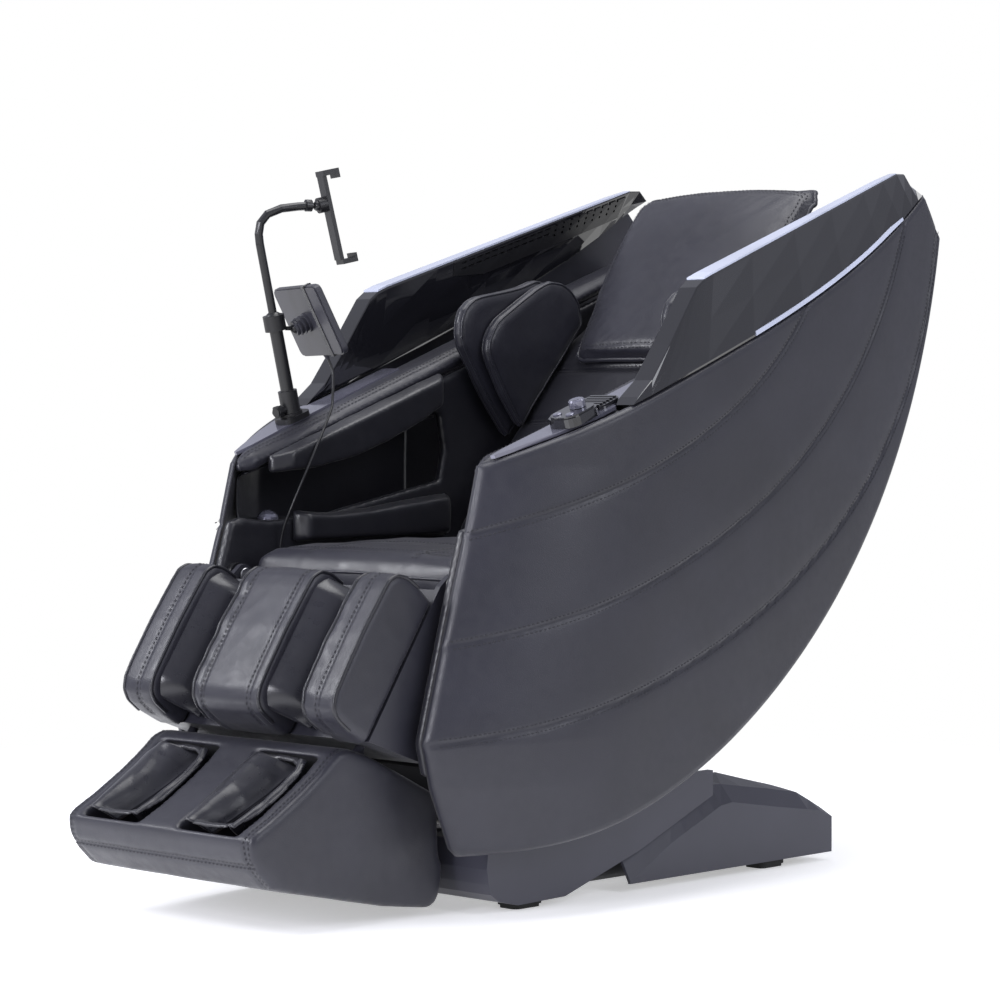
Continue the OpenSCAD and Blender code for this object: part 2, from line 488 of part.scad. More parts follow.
module cord_gland() at_ball(remote_ball, remote_lean)
  translate([0, 30.5, -remote_h / 2 - 8]) cylinder(h = 8, r1 = 3.2, r2 = 5);
module remote_cord() color([0.06, 0.06, 0.06]) swept(cord_path, cord_r, 10);
module phone_stud() translate(phone_ball) {
  sphere(r = 9);
  rotate([90, 0, -remote_turn]) cylinder(h = 20, r = 4);
  rotate([90, 0, -remote_turn]) translate([0, 0, 12]) cylinder(h = 10, r = 10);
}
module phone_bar() color([0.09, 0.09, 0.1]) at_ball(phone_ball, phone_lean) {
  difference() {
    rotate([-90, 0, 0]) cylinder(h = 14, r = 13);
    sphere(r = 9.06);
  }
  translate([0, 0, -20]) {
    difference() {
      box([-13, 14, -phone_bar / 2], [13, 21, phone_bar / 2]);
      box([-9.3, 17, -phone_bar / 2 - 1], [9.3, 22, phone_bar / 2 - 25]);
    }
    box([-16, 14, phone_bar / 2 - 9], [16, 44, phone_bar / 2]);
    box([-16, 39, phone_bar / 2 - 16], [16, 44, phone_bar / 2 - 8]);
  }
}
module phone_jaw() color([0.12, 0.12, 0.13]) at_ball(phone_ball, phone_lean) translate([0, 0, -20]) {
  box([-9, 17.2, -phone_bar / 2 - 8], [9, 20.8, -5]);
  box([-16, 17.2, -phone_bar / 2 - 8], [16, 44, -phone_bar / 2 - 0.3]);
  box([-16, 39, -phone_bar / 2 - 2], [16, 44, -phone_bar / 2 + 7]);
}

// ---------- back ----------
module back_frame() color([0.14, 0.14, 0.15]) on_back() difference() {
  union() {
    pair() box([218, -205, -102], [242, 490, -78]);
    pair() plate(232, 10, [[-205, -102], [-205, -78], each arc(back_eye, 22, 30, 330, 16)]);
    for (v = [-200, 160, 466]) box([-222, v, -108], [222, v + 24, -98]);
    pair() for (v = [-190, 476]) box([148, v, -108], [162, v + 10, -66]);
    pair() difference() {
      box([148, -190, -80], [162, 486, -62]);
      box([147, -182, -76], [157, 478, -66]);
    }
    // carriers for the back pad
    pair() for (v = [-190, 200]) box([205, v, -82], [230, v + 26, -35]);
    pair() box([205, 460, -82], [230, 486, -62]);
  }
  pair() rod(back_eye, 10 + pin_gap, 230, 244);
}
module back_shell() {
  vs = [-225, -190, -80, 40, 160, 280, 400, 500, 540, 556];
  us = [-243, -237, -213, -140, 0, 140, 213, 237, 243];
  function deep(v) = lookup(v, [[-225, -128], [-190, -140], [40, -158], [280, -162], [500, -140], [540, -110], [556, -70]]);
  function grid(d) = [for (v = vs) [for (u = us) let (k = pow(abs(u) / 243, 4))
    [u * (243 - d) / 243, v - (v > 500 ? d : 0), mix(deep(v) + d, -109 + (v > 530 ? 40 : 0) + d, k)]]];
  color([0.2, 0.2, 0.22]) on_back() skin(grid(5), grid(0));
  color([0.2, 0.2, 0.22]) on_back() pair() for (b = [[-200, -131], [160, -151], [466, -136]])
    box([140, b[0], b[1]], [150, b[0] + 24, -108]);
}
// the back pad's surface height along the back, in from the straight line of the spine
back_line = [[-205, 0], [200, -5], [248, -9], [297, -34], [330, -34], [367, -22], [421, -3], [512, 4]];
module back_pad() {
  vs = [-205, -199, -184, -140, -90, -79, -68, -20, 30, 41, 52, 100, 150, 161, 172, 230, 270, 297, 330, 367, 421, 470, 496, 507, 512];
  us = [-1, -0.985, -0.93, -0.8, -0.6, -0.3, 0, 0.3, 0.6, 0.8, 0.93, 0.985, 1];
  function rim(v) = min(1, sqrt(max(0, 1 - pow(1 - min(1, min(v + 205, 512 - v) / 22), 2))));
  function side(u) = sqrt(max(0, 1 - pow(max(0, abs(u) - 0.9) / 0.1, 2)));
  function groove(v) = max([for (g = [-79, 41, 161]) max(0, 1 - abs(v - g) / 10)]);
  function top(u, v) = let (z = lookup(v, back_line), e = side(u) * rim(v))
    z - 20 + 20 * e + 8 * (1 - u * u) * rim(v) - 5 * groove(v) * e;
  function low(u, v) = let (z = lookup(v, back_line)) mix(z - 20.5, min(z - 26, lookup(v, [[230, -32], [262, -61]])), side(u) * rim(v));
  color([0.12, 0.12, 0.14]) on_back() skin([for (v = vs) [for (u = us) [u * back_half, v, top(u, v)]]], [for (v = vs) [for (u = us) [u * back_half, v, low(u, v)]]]);
}
module head_pillow() {
  vs = [165, 169, 180, 210, 250, 290, 330, 380, 430, 480, 520, 540, 547, 550];
  us = [-1, -0.985, -0.93, -0.78, -0.55, -0.28, 0, 0.28, 0.55, 0.78, 0.93, 0.985, 1];
  function line(v) = lookup(v, [[165, 6], [250, 4], [330, 7], [367, 10], [421, 15], [500, 16], [550, 12]]);
  function half(v) = lookup(v, [[165, 150], [180, 168], [215, 178], [290, 190], [340, 202], [520, 206], [550, 190]]);
  function rim(v) = sqrt(max(0, 1 - pow(1 - min(1, min(v - 165, 550 - v) / 24), 2)));
  function side(u) = sqrt(max(0, 1 - pow(max(0, abs(u) - 0.88) / 0.12, 2)));
  function top(u, v) = line(v) + (pillow_t / 2) * side(u) * rim(v) * mix(0.55, 1, 1 - u * u);
  function low(u, v) = let (b = max(lookup(v, back_line) + 10.8, line(v) - 24)) mix(line(v) - 0.5, min(b, line(v) - 1), side(u) * rim(v));
  color([0.14, 0.14, 0.16]) on_back() skin([for (v = vs) [for (u = us) [u * half(v), v, top(u, v)]]],
    [for (v = vs) [for (u = us) [u * half(v), v, low(u, v)]]]);
}
// a padded wing standing out from the back at the shoulder
module wing(x0, x1, outline, f = [0.8, 0.93, 0.985], d = [2.5, 8]) {
  n = len(outline);
  c = [for (k = [0, 1]) [for (p = outline) p[k]] * [for (p = outline) 1 / n]];
  function ring(x, f) = [for (p = outline) let (q = c + (p - c) * f) [x, q[0], q[1]]];
  rings = [ring(x0, f[0]), ring(x0 + d[0], f[1]), ring(x0 + d[1], f[2]), ring((x0 + x1) / 2, 1), ring(x1 - d[1], f[2]),
    ring(x1 - d[0], f[1]), ring(x1, f[0])];
  polyhedron(points = [for (r = rings) each r],
    faces = concat([[for (i = [0:n - 1]) i]],
      [for (j = [0:5], i = [0:n - 1]) let (a = j * n + i, b = j * n + (i + 1) % n) each [[a, b + n, b], [a, a + n, b + n]]],
      [[for (i = [n - 1:-1:0]) 6 * n + i]]));
}
module inner_shoulder_pads() color([0.15, 0.15, 0.17]) on_back() pair()
  wing(196, 221.5, [[18, 6], [55, 8], [180, 4], [262, 4], [286, 34], [290, 62], [284, 88], [265, 115], [232, 134], [130, 170], [104, 172],
    [82, 168], [65, 158], [55, 142], [32, 75]]);
module outer_shoulder_pads() color([0.15, 0.15, 0.17]) on_back() pair()
  wing(223.5, 249.5, [[2, -1], [40, -3], [200, -3], [262, 12], [276, 60], [274, 100], [262, 122], [219, 150], [143, 213], [122, 224], [101, 227],
    [78, 220], [60, 206], [48, 190], [16, 80]]);
module roller_carriage() color([0.45, 0.46, 0.5]) on_back() {
  pair() translate([0, -20, -70]) difference() {
    plate(120, 10, slab_box(116, 30, 9));
    rod([0, 8], 6.05, 119, 131);
  }
  for (v = [-70, 30]) rod([v, -74], 8, -122, 122);
  pair() for (v = [-62, 22]) rod([v, -71], 4.8, 129.5, 154);
}
module massage_arms() color([0.75, 0.6, 0.45]) on_back() translate([0, -20, -62]) {
  rod([0, 0], 6, -129.5, 129.5);
  pair() for (x = [46, 96]) {
    plate(x - 4, 8, concat(arc([9, 0], 12, -90, 90, 10), arc([-6, 0], 12, 90, 270, 10)));
    translate([x, 9, 0]) rotate([0, 90, 0]) rotate_extrude($fn = 40)
      polygon([[0, -14], [10, -14], [16, -11], [ball_r, -5], [ball_r, 5], [16, 11], [10, 14], [0, 14]]);
  }
}

// ---------- leg rest ----------
calf_side = [[0, 0], [19, -30], [32, -83], [36, -112], [20, -126], [-60, -150], [-198, -216], [-205, -190], [-234, -70], [-235, -23],
  [-222, -6], [-207, 0]];
// the ridges' side outline, standing on the floor of the channels
calf_ridge = [[14, channel_floor + 0.3], [20, -60], [19, -32], [12, -12], [-4, -1.5], [-24, 0.5], [-100, 3], [-180, 1], [-206, -1], [-224, -9], [-234, -25],
  [-237, -55], [-233, channel_floor + 0.3]];
module calf_shell() color([0.2, 0.2, 0.23]) on_leg() difference() {
  union() {
    intersection() {
      plate(-243, 486, calf_side);
      box([-243, -240, -230], [243, 60, channel_floor]);
    }
    pair() plate(232, 10, [[0, -96], [40, -96], each arc(leg_eye, 18, 60, -120, 10), [0, -118]]);
  }
  // hollow behind the channels, and the guides for the foot unit's rods
  box([-232, -190, -140.5], [-206, 18, -103]);
  pair() rod(leg_eye, 8 + pin_gap, 231, 243);
  box([206, -190, -140.5], [232, 18, -103]);
  pair() translate([190, -240, -130]) rotate([-90, 0, 0]) cylinder(h = 225, r = 8 + pin_gap);
  box([-120, -150, -135], [120, 10, -110]);
}
module calf_middle_pad() color([0.14, 0.14, 0.16]) on_leg()
  wing(-calf_mid_w / 2, calf_mid_w / 2, calf_ridge, [0.92, 0.972, 0.995], [4, 14]);
module calf_outer_pads() color([0.14, 0.14, 0.16]) on_leg()
  pair() wing(170, 243, calf_ridge, [0.92, 0.972, 0.995], [4, 14]);
foot_side = [[-228, -150], [-240, -100], [-248, -86], [-262, -76], [-300, -64], [-340, -48], [-400, -20], [-434, -1], [-448, 3],
  [-458, -3], [-471, -17], [-481, -40], [-488, -76], [-472, -120], [-440, -198], [-402, -295], [-362, -376], [-350, -385],
  [-330, -384], [-296, -368], [-282, -348], [-222, -306], [-210, -290], [-216, -240]];
foot_top = [[-448, 3.4], [-434, -0.6], [-400, -19.6], [-340, -47.6], [-300, -63.6], [-262, -75.6]];
foot_room = [[-274, -30], [-420, 30], [-456, -20], [-470, -40], [-474, -76], [-428, -194], [-391, -288], [-352, -345], [-300, -330],
  [-250, -262], [-264, -130]];
module foot_shell() color([0.2, 0.2, 0.23]) on_leg() {
  difference() {
    wing(-214, 214, foot_side, [0.94, 0.98, 0.996], [4, 13]);
    pair() plate(42, 136, foot_room);
    for (c = [[-442, -90], [-398, -205]]) rod(c, 5 + pin_gap, -200, 200);
  }
  pair() translate([190, -330, -130]) rotate([-90, 0, 0]) cylinder(h = 295, r = 8);
}
module foot_collars() color([0.15, 0.15, 0.17]) on_leg() pair() {
  c = [110, -356];
  n = 20;
  rings = [for (i = [0:n - 1]) let (a = i * 360 / n, s = [sign(cos(a)) * pow(abs(cos(a)), 0.6), sign(sin(a)) * pow(abs(sin(a)), 0.6)])
    [for (q = [[0, 0], [0, 3], [-3, 5.5], [-7, 5.5], [-10, 3], [-10, 0]])
      let (v = c[1] + s[1] * (80 + q[0])) [c[0] + s[0] * (71 + q[0]), v, q[1] + lookup(v, foot_top)]]];
  polyhedron(points = [for (r = rings) each r],
    faces = [for (i = [0:n - 1], j = [0:5]) let (a = i * 6 + j, b = i * 6 + (j + 1) % 6, a2 = ((i + 1) % n) * 6 + j, b2 = ((i + 1) % n) * 6 + (j + 1) % 6)
      each [[a, b, b2], [a, b2, a2]]]);
}
module foot_roller(c) color([0.5, 0.5, 0.56]) on_leg() {
  rod(c, 5, -199, 199);
  pair() for (x = [62:24:158]) translate([x, c[0], c[1]]) rotate([0, 90, 0]) rotate_extrude($fn = 40)
    polygon([[5, -11], [foot_roller_r - 5, -11], [foot_roller_r, -5], [foot_roller_r, 5], [foot_roller_r - 5, 11], [5, 11]]);
}
module front_foot_roller() foot_roller([-442, -90]);
module rear_foot_roller() foot_roller([-398, -205]);

base_frame();
base_skirt();
base_rear_cover();
base_feet();
wheel_axle();
wheels();
slide_rails();
power_unit();
power_inlet();
power_switch();
air_pump();
slide_carriage();
slide_rollers();
seat_pivot_pins();
seat_frame();
frame_pivot_pins();
seat_cushion();
left_side_shell();
right_side_shell();
gloss_panels();
light_strips();
accent_strips();
arm_walls();
arm_tunnels();
upper_arm_pads();
lower_arm_pads();
armrests();
armrest_inlays();
hand_domes();
speaker_grilles();
control_pod();
control_knob();
recline_button();
leg_button();
wrist_pad();
stand_clamp();
clamp_screw();
stand_pole();
remote_bracket();
remote_body();
remote_screen();
remote_band();
remote_cord();
phone_bar();
phone_jaw();
back_frame();
back_shell();
back_pad();
head_pillow();
inner_shoulder_pads();
outer_shoulder_pads();
roller_carriage();
massage_arms();
calf_shell();
calf_middle_pad();
calf_outer_pads();
foot_shell();
foot_collars();
front_foot_roller();
rear_foot_roller();
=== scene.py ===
"""Looks of the massage chair: leather pads, shells, piping, stitching, cord, materials, light and camera."""
import json
import math

import bpy
import numpy as np
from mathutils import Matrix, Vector, noise
from mathutils.bvhtree import BVHTree
from mathutils.kdtree import KDTree


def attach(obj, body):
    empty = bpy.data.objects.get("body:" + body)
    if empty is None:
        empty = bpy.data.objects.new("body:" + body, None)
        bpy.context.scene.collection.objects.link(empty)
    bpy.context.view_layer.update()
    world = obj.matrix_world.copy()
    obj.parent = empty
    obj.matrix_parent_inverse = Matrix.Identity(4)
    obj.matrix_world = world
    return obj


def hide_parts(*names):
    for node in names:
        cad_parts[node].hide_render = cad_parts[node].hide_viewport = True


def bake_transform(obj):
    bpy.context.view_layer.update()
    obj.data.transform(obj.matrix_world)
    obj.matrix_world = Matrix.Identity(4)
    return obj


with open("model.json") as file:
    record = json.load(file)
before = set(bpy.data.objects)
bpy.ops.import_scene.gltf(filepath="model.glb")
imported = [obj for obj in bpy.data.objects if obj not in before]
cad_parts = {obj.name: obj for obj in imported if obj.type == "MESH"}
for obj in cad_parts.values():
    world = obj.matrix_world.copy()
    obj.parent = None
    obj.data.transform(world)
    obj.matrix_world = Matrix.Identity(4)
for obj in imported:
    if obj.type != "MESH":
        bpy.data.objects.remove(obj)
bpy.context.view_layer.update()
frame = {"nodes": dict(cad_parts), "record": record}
N = frame["nodes"]
REC = frame["record"]
BODY = {n: b for b, ns in REC["behaviour"]["bodies"].items() for n in ns}
SLOT = {s["node"]: s["material_slot"] for s in REC["subparts"]}
MM = 0.001


# ---------------------------------------------------------------- frames
def leaning(tip, deg):
    """A slanted frame, in mm: x across, v along the slope from its tip (y, z), w out of it."""
    a = math.radians(deg)
    c, s = math.cos(a), math.sin(a)

    def to(x, v, w):
        return Vector((x, tip[0] + c * v - s * w, tip[1] + s * v + c * w)) * MM
    return to


back = leaning((248, 717), 50)    # along the backrest
leg = leaning((-489, 521), 56.2)  # along the leg rest


# ---------------------------------------------------------------- materials
def principled(name, color, rough, **sockets):
    """A material, its node tree and its shader. Socket names are written with _ for a space."""
    m = bpy.data.materials.new(name)
    m.use_nodes = True
    b = m.node_tree.nodes["Principled BSDF"]
    b.inputs["Base Color"].default_value = (*color, 1)
    b.inputs["Roughness"].default_value = rough
    for k, v in sockets.items():
        b.inputs[k.replace("_", " ")].default_value = v
    return m, m.node_tree, b


def coords(t):
    """Object coordinates, which stay on a piece as it moves."""
    return t.nodes.new("ShaderNodeTexCoord").outputs["Object"]


def tex(t, kind, scale, **props):
    """A texture node in object coordinates, with its sockets or properties set."""
    n = t.nodes.new(kind)
    n.inputs["Scale"].default_value = scale
    for k, v in props.items():
        if k in n.inputs:
            n.inputs[k].default_value = v
        else:
            setattr(n, k, v)
    t.links.new(coords(t), n.inputs["Vector"])
    return n


def ramp(t, src, lo, hi, a=0.3, b=0.7):
    """Maps src from a to b onto the colours lo to hi."""
    r = t.nodes.new("ShaderNodeValToRGB")
    r.color_ramp.elements[0].position = a
    r.color_ramp.elements[1].position = b
    r.color_ramp.elements[0].color = (*lo, 1) if len(lo) == 3 else lo
    r.color_ramp.elements[1].color = (*hi, 1) if len(hi) == 3 else hi
    t.links.new(src, r.inputs["Fac"])
    return r


def bump(t, b, sources, distance):
    """Stacks bumps: sources are (output, strength)."""
    last = None
    for out, strength in sources:
        n = t.nodes.new("ShaderNodeBump")
        n.inputs["Strength"].default_value = strength
        n.inputs["Distance"].default_value = distance
        t.links.new(out, n.inputs["Height"])
        if last is not None:
            t.links.new(last.outputs["Normal"], n.inputs["Normal"])
        last = n
    t.links.new(last.outputs["Normal"], b.inputs["Normal"])


def leather(name, color, rough, grain=0.35, crease=0.25, coat=0.0):
    """Artificial leather: pores, fine grain, slow creases and uneven colour and gloss."""
    m, t, b = principled(name, color, rough, Specular_IOR_Level=0.5, Coat_Weight=coat, Coat_Roughness=0.25,
                         Sheen_Weight=0.06, Sheen_Roughness=0.4)
    big = tex(t, "ShaderNodeTexNoise", 7, Detail=4.0)
    lo = tuple(c * 0.86 for c in color)
    hi = tuple(min(1, c * 1.16) for c in color)
    t.links.new(ramp(t, big.outputs["Fac"], lo, hi).outputs["Color"], b.inputs["Base Color"])
    mid = tex(t, "ShaderNodeTexNoise", 60, Detail=5.0)
    r = ramp(t, mid.outputs["Fac"], (rough - 0.05,) * 3, (rough + 0.07,) * 3)
    t.links.new(r.outputs["Color"], b.inputs["Roughness"])
    cells = tex(t, "ShaderNodeTexVoronoi", 620, feature="F1", Randomness=1.0)
    fine = tex(t, "ShaderNodeTexNoise", 1500, Detail=2.0)
    slow = tex(t, "ShaderNodeTexNoise", 24, Detail=3.0, Distortion=0.6)
    layers = [(cells.outputs["Distance"], grain), (fine.outputs["Fac"], grain * 0.4)]
    layers.append((slow.outputs["Fac"], crease))
    bump(t, b, layers, 0.0006)
    return m


def plastic(name, color, rough, grain=0.12, metal=0.0, coat=0.0, scale=900):
    """Moulded plastic, paint or rubber, with a fine mould grain."""
    m, t, b = principled(name, color, rough, Metallic=metal, Coat_Weight=coat, Coat_Roughness=0.05)
    n = tex(t, "ShaderNodeTexNoise", scale, Detail=2.0)
    big = tex(t, "ShaderNodeTexNoise", 9, Detail=3.0)
    low, high = tuple(c * 0.92 for c in color), tuple(min(1, c * 1.07) for c in color)
    t.links.new(ramp(t, big.outputs["Fac"], low, high).outputs["Color"], b.inputs["Base Color"])
    r = ramp(t, n.outputs["Fac"], (max(0.01, rough - 0.03),) * 3, (rough + 0.04,) * 3)
    t.links.new(r.outputs["Color"], b.inputs["Roughness"])
    bump(t, b, [(n.outputs["Fac"], grain)], 0.0003)
    return m


def woven(name, color):
    """Elastic webbing."""
    m, t, b = principled(name, color, 0.85, Sheen_Weight=0.4)
    w = tex(t, "ShaderNodeTexWave", 260, Distortion=0.4, Detail=1.0)
    weave = ramp(t, w.outputs["Fac"], tuple(c * 0.5 for c in color), color)
    t.links.new(weave.outputs["Color"], b.inputs["Base Color"])
    bump(t, b, [(w.outputs["Fac"], 0.5)], 0.0005)
    return m


def brushed(name, color, rough):
    """Bare metal with uneven gloss."""
    m, t, b = principled(name, color, rough, Metallic=1.0)
    n = tex(t, "ShaderNodeTexNoise", 120, Detail=6.0)
    r = ramp(t, n.outputs["Fac"], (rough - 0.08,) * 3, (rough + 0.12,) * 3)
    t.links.new(r.outputs["Color"], b.inputs["Roughness"])
    bump(t, b, [(n.outputs["Fac"], 0.08)], 0.0003)
    return m


MAT = {
    "shell_leather": leather("shell_leather", (0.020, 0.020, 0.029), 0.40, 0.2, 0.08),
    "dark_leather": leather("dark_leather", (0.013, 0.013, 0.018), 0.34, 0.25, 0.28, 0.1),
    "shiny_leather": leather("shiny_leather", (0.014, 0.014, 0.020), 0.30, 0.15, 0.3, 0.15),
    "pad_leather": leather("pad_leather", (0.017, 0.017, 0.025), 0.37, 0.22, 0.2, 0.05),
    "gloss_black": plastic("gloss_black", (0.010, 0.010, 0.013), 0.07, 0.01, 0.0, 0.8),
    "light": plastic("light", (0.62, 0.66, 0.82), 0.18, 0.02, 0.2, 0.5),
    "cover_plastic": plastic("cover_plastic", (0.042, 0.042, 0.058), 0.42, 0.25),
    "black_plastic": plastic("black_plastic", (0.012, 0.012, 0.014), 0.35, 0.2),
    "frame_paint": plastic("frame_paint", (0.010, 0.010, 0.012), 0.32, 0.15, 0.0, 0.2),
    "bright_steel": brushed("bright_steel", (0.55, 0.55, 0.57), 0.28),
    "rubber": plastic("rubber", (0.012, 0.012, 0.012), 0.75, 0.4, 0.0, 0.0, 300),
    "silver_plastic": plastic("silver_plastic", (0.20, 0.20, 0.26), 0.14, 0.02, 0.5, 0.6),
    "remote_plastic": plastic("remote_plastic", (0.035, 0.035, 0.046), 0.38, 0.25),
    "screen_glass": plastic("screen_glass", (0.004, 0.004, 0.006), 0.04, 0.0, 0.0, 1.0),
    "zinc_casting": brushed("zinc_casting", (0.35, 0.35, 0.38), 0.45),
    "massage_nylon": plastic("massage_nylon", (0.20, 0.15, 0.10), 0.45, 0.2),
    "switch_red": plastic("switch_red", (0.35, 0.02, 0.015), 0.25, 0.05),
    "fabric_black": woven("fabric_black", (0.015, 0.015, 0.016)),
    "thread": plastic("thread", (0.020, 0.020, 0.026), 0.7, 0.4),
}
for node, o in N.items():
    m = MAT[SLOT[node]]
    if o.material_slots:
        for s in o.material_slots:
            s.material = m
    else:
        o.data.materials.append(m)
for s in N["speaker_grilles"].material_slots:
    s.material = MAT["black_plastic"]
for node in ("gloss_panels", "light_strips", "accent_strips", "base_rear_cover", "base_skirt", "back_shell"):
    N[node].data.polygons.foreach_set("use_smooth", [True] * len(N[node].data.polygons))
    N[node].data.set_sharp_from_angle(angle=math.radians(32))
    even = N[node].modifiers.new("even_normals", "WEIGHTED_NORMAL")
    even.keep_sharp = True
    even.weight = 80


# ---------------------------------------------------------------- mesh helpers
def obj_from(name, verts, faces, material, smooth=True):
    """A mesh object in the scene, from its points and faces."""
    me = bpy.data.meshes.new(name)
    me.from_pydata([tuple(v) for v in verts], [], faces)
    me.validate()
    if smooth:
        me.polygons.foreach_set("use_smooth", [True] * len(me.polygons))
    me.materials.append(MAT[material])
    o = bpy.data.objects.new(name, me)
    bpy.context.scene.collection.objects.link(o)
    return o


def baked(o, mods):
    """Runs the modifiers on o and keeps the result as its mesh."""
    for kind, props in mods:
        md = o.modifiers.new(kind, kind)
        for k, v in props.items():
            setattr(md, k, v)
    dg = bpy.context.evaluated_depsgraph_get()
    me = bpy.data.meshes.new_from_object(o.evaluated_get(dg))
    old = o.data
    o.modifiers.clear()
    o.data = me
    bpy.data.meshes.remove(old)
    return o


def arrays(o):
    """The points and normals of o."""
    n = len(o.data.vertices)
    co = np.empty(n * 3)
    no = np.empty(n * 3)
    o.data.vertices.foreach_get("co", co)
    o.data.vertices.foreach_get("normal", no)
    return co.reshape(-1, 3), no.reshape(-1, 3)


def put(o, co):
    """Moves the points of o to co and shades it smooth."""
    o.data.vertices.foreach_set("co", co.ravel())
    o.data.update()
    o.data.polygons.foreach_set("use_smooth", [True] * len(o.data.polygons))


def settle(o, node, material, slot=None, body=None):
    """Gives a finished soft piece its material and body, and hides its CAD part."""
    o.data.materials.clear()
    o.data.materials.append(MAT[material])
    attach(o, body or BODY[node])
    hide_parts(node)
    slot or SLOT[node]
    return o


def follow(o, node, slot=None):
    """Puts a trim piece on the body of its node, or on the body of that name."""
    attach(o, BODY.get(node, node))
    slot or SLOT.get(node, "dark_leather")
    return o


def spline(points, n=120, closed=False):
    """A smooth line through the points, n samples."""
    p = [Vector(q) for q in points]
    m = len(p)
    out = []
    segs = m if closed else m - 1
    for k in range(n if closed else n + 1):
        t = k / n * segs
        i = min(int(t), segs - 1)
        u = t - i
        if closed:
            a, b, c, d = p[(i - 1) % m], p[i % m], p[(i + 1) % m], p[(i + 2) % m]
        else:
            a, b, c, d = p[max(i - 1, 0)], p[i], p[i + 1], p[min(i + 2, m - 1)]
        square = (2 * a - 5 * b + 4 * c - d) * u * u
        cube = (3 * b - a - 3 * c + d) * u ** 3
        out.append(0.5 * ((2 * b) + (c - a) * u + square + cube))
    return out


def tree_of(o):
    """The faces of o, to find nearest points on."""
    me = o.data
    return BVHTree.FromPolygons([v.co[:] for v in me.vertices], [p.vertices[:] for p in me.polygons])


def on_surface(o, line, lift=0.0):
    """The line laid on o: (points, normals)."""
    tree = tree_of(o)
    pts, nos = [], []
    for p in line:
        q, n, _, _ = tree.find_nearest(p)
        pts.append(q + n * lift)
        nos.append(n)
    return pts, nos


def tube(name, line, r, material, closed=False, sides=8):
    """A round bar along the line, without twist."""
    n = len(line)
    verts, faces = [], []
    up = Vector((0.31, 0.22, 0.93))
    for i, p in enumerate(line):
        a = line[(i - 1) % n] if closed else line[max(i - 1, 0)]
        b = line[(i + 1) % n] if closed else line[min(i + 1, n - 1)]
        t = (b - a).normalized()
        u = up - t * up.dot(t)
        u = u.normalized() if u.length > 1e-6 else t.orthogonal().normalized()
        up = u
        w = t.cross(u)
        for k in range(sides):
            g = 2 * math.pi * k / sides
            verts.append(p + r * (math.cos(g) * u + math.sin(g) * w))
    last = n if closed else n - 1
    for i in range(last):
        for k in range(sides):
            a, b = i * sides + k, i * sides + (k + 1) % sides
            c, d = ((i + 1) % n) * sides + (k + 1) % sides, ((i + 1) % n) * sides + k
            faces.append((a, b, c, d))
    if not closed:
        faces.append(tuple(range(sides))[::-1])
        faces.append(tuple((n - 1) * sides + k for k in range(sides)))
    return obj_from(name, verts, faces, material)


def stitches(name, rows, material="thread", length=0.0052, gap=0.0034, r=0.00085):
    """Rows of thread: each row is (points, normals), laid as short rounded bars."""
    verts, faces = [], []
    for pts, nos in rows:
        acc, nxt = 0.0, 0.0
        i = 0
        while i < len(pts) - 1:
            seg = (pts[i + 1] - pts[i]).length
            if seg < 1e-7:
                i += 1
                continue
            if acc + seg < nxt:
                acc += seg
                i += 1
                continue
            p = pts[i].lerp(pts[i + 1], (nxt - acc) / seg)
            t = (pts[i + 1] - pts[i]).normalized()
            n = nos[i].normalized()
            s = n.cross(t).normalized()
            k = len(verts)
            for along, wide, high in ((-0.5, 0.5, 0.1), (-0.32, 1, 0.75), (0.32, 1, 0.75), (0.5, 0.5, 0.1)):
                for side in (-1, 0, 1):
                    up = high + (0.35 if side == 0 else 0) - 0.2
                    verts.append(p + t * along * length + s * side * r * wide + n * r * up)
            for a in range(3):
                for c in range(2):
                    q = k + a * 3 + c
                    faces.append((q, q + 3, q + 4, q + 1))
            nxt += length + gap
    return obj_from(name, verts, faces, material)


def crumple(co, no, amp, freq, seed=0.0, stretch=(1, 1, 1), mask=None):
    """Soft folds: ridged noise pushed along the normals."""
    out = co.copy()
    for i in range(len(co)):
        k = 1.0 if mask is None else mask[i]
        if k < 0.02:
            continue
        p = co[i] * freq * np.array(stretch)
        a = 1 - abs(noise.noise(Vector((p[0] + seed, p[1] + seed, p[2])))) * 2.4
        b = noise.noise(Vector((p[0] * 2.7, p[1] * 2.7 + seed, p[2] * 2.7)))
        out[i] += no[i] * amp * k * (0.6 * max(-0.6, a) + 0.4 * b)
    return out


def near(co, lines, width):
    """1 on the lines, falling to 0 away from them."""
    pts = [p for line in lines for p in line]
    if not pts:
        return np.zeros(len(co))
    kd = KDTree(len(pts))
    for i, p in enumerate(pts):
        kd.insert(p, i)
    kd.balance()
    d = np.array([kd.find(Vector(c))[2] for c in co])
    return np.exp(-(d / width) ** 2)


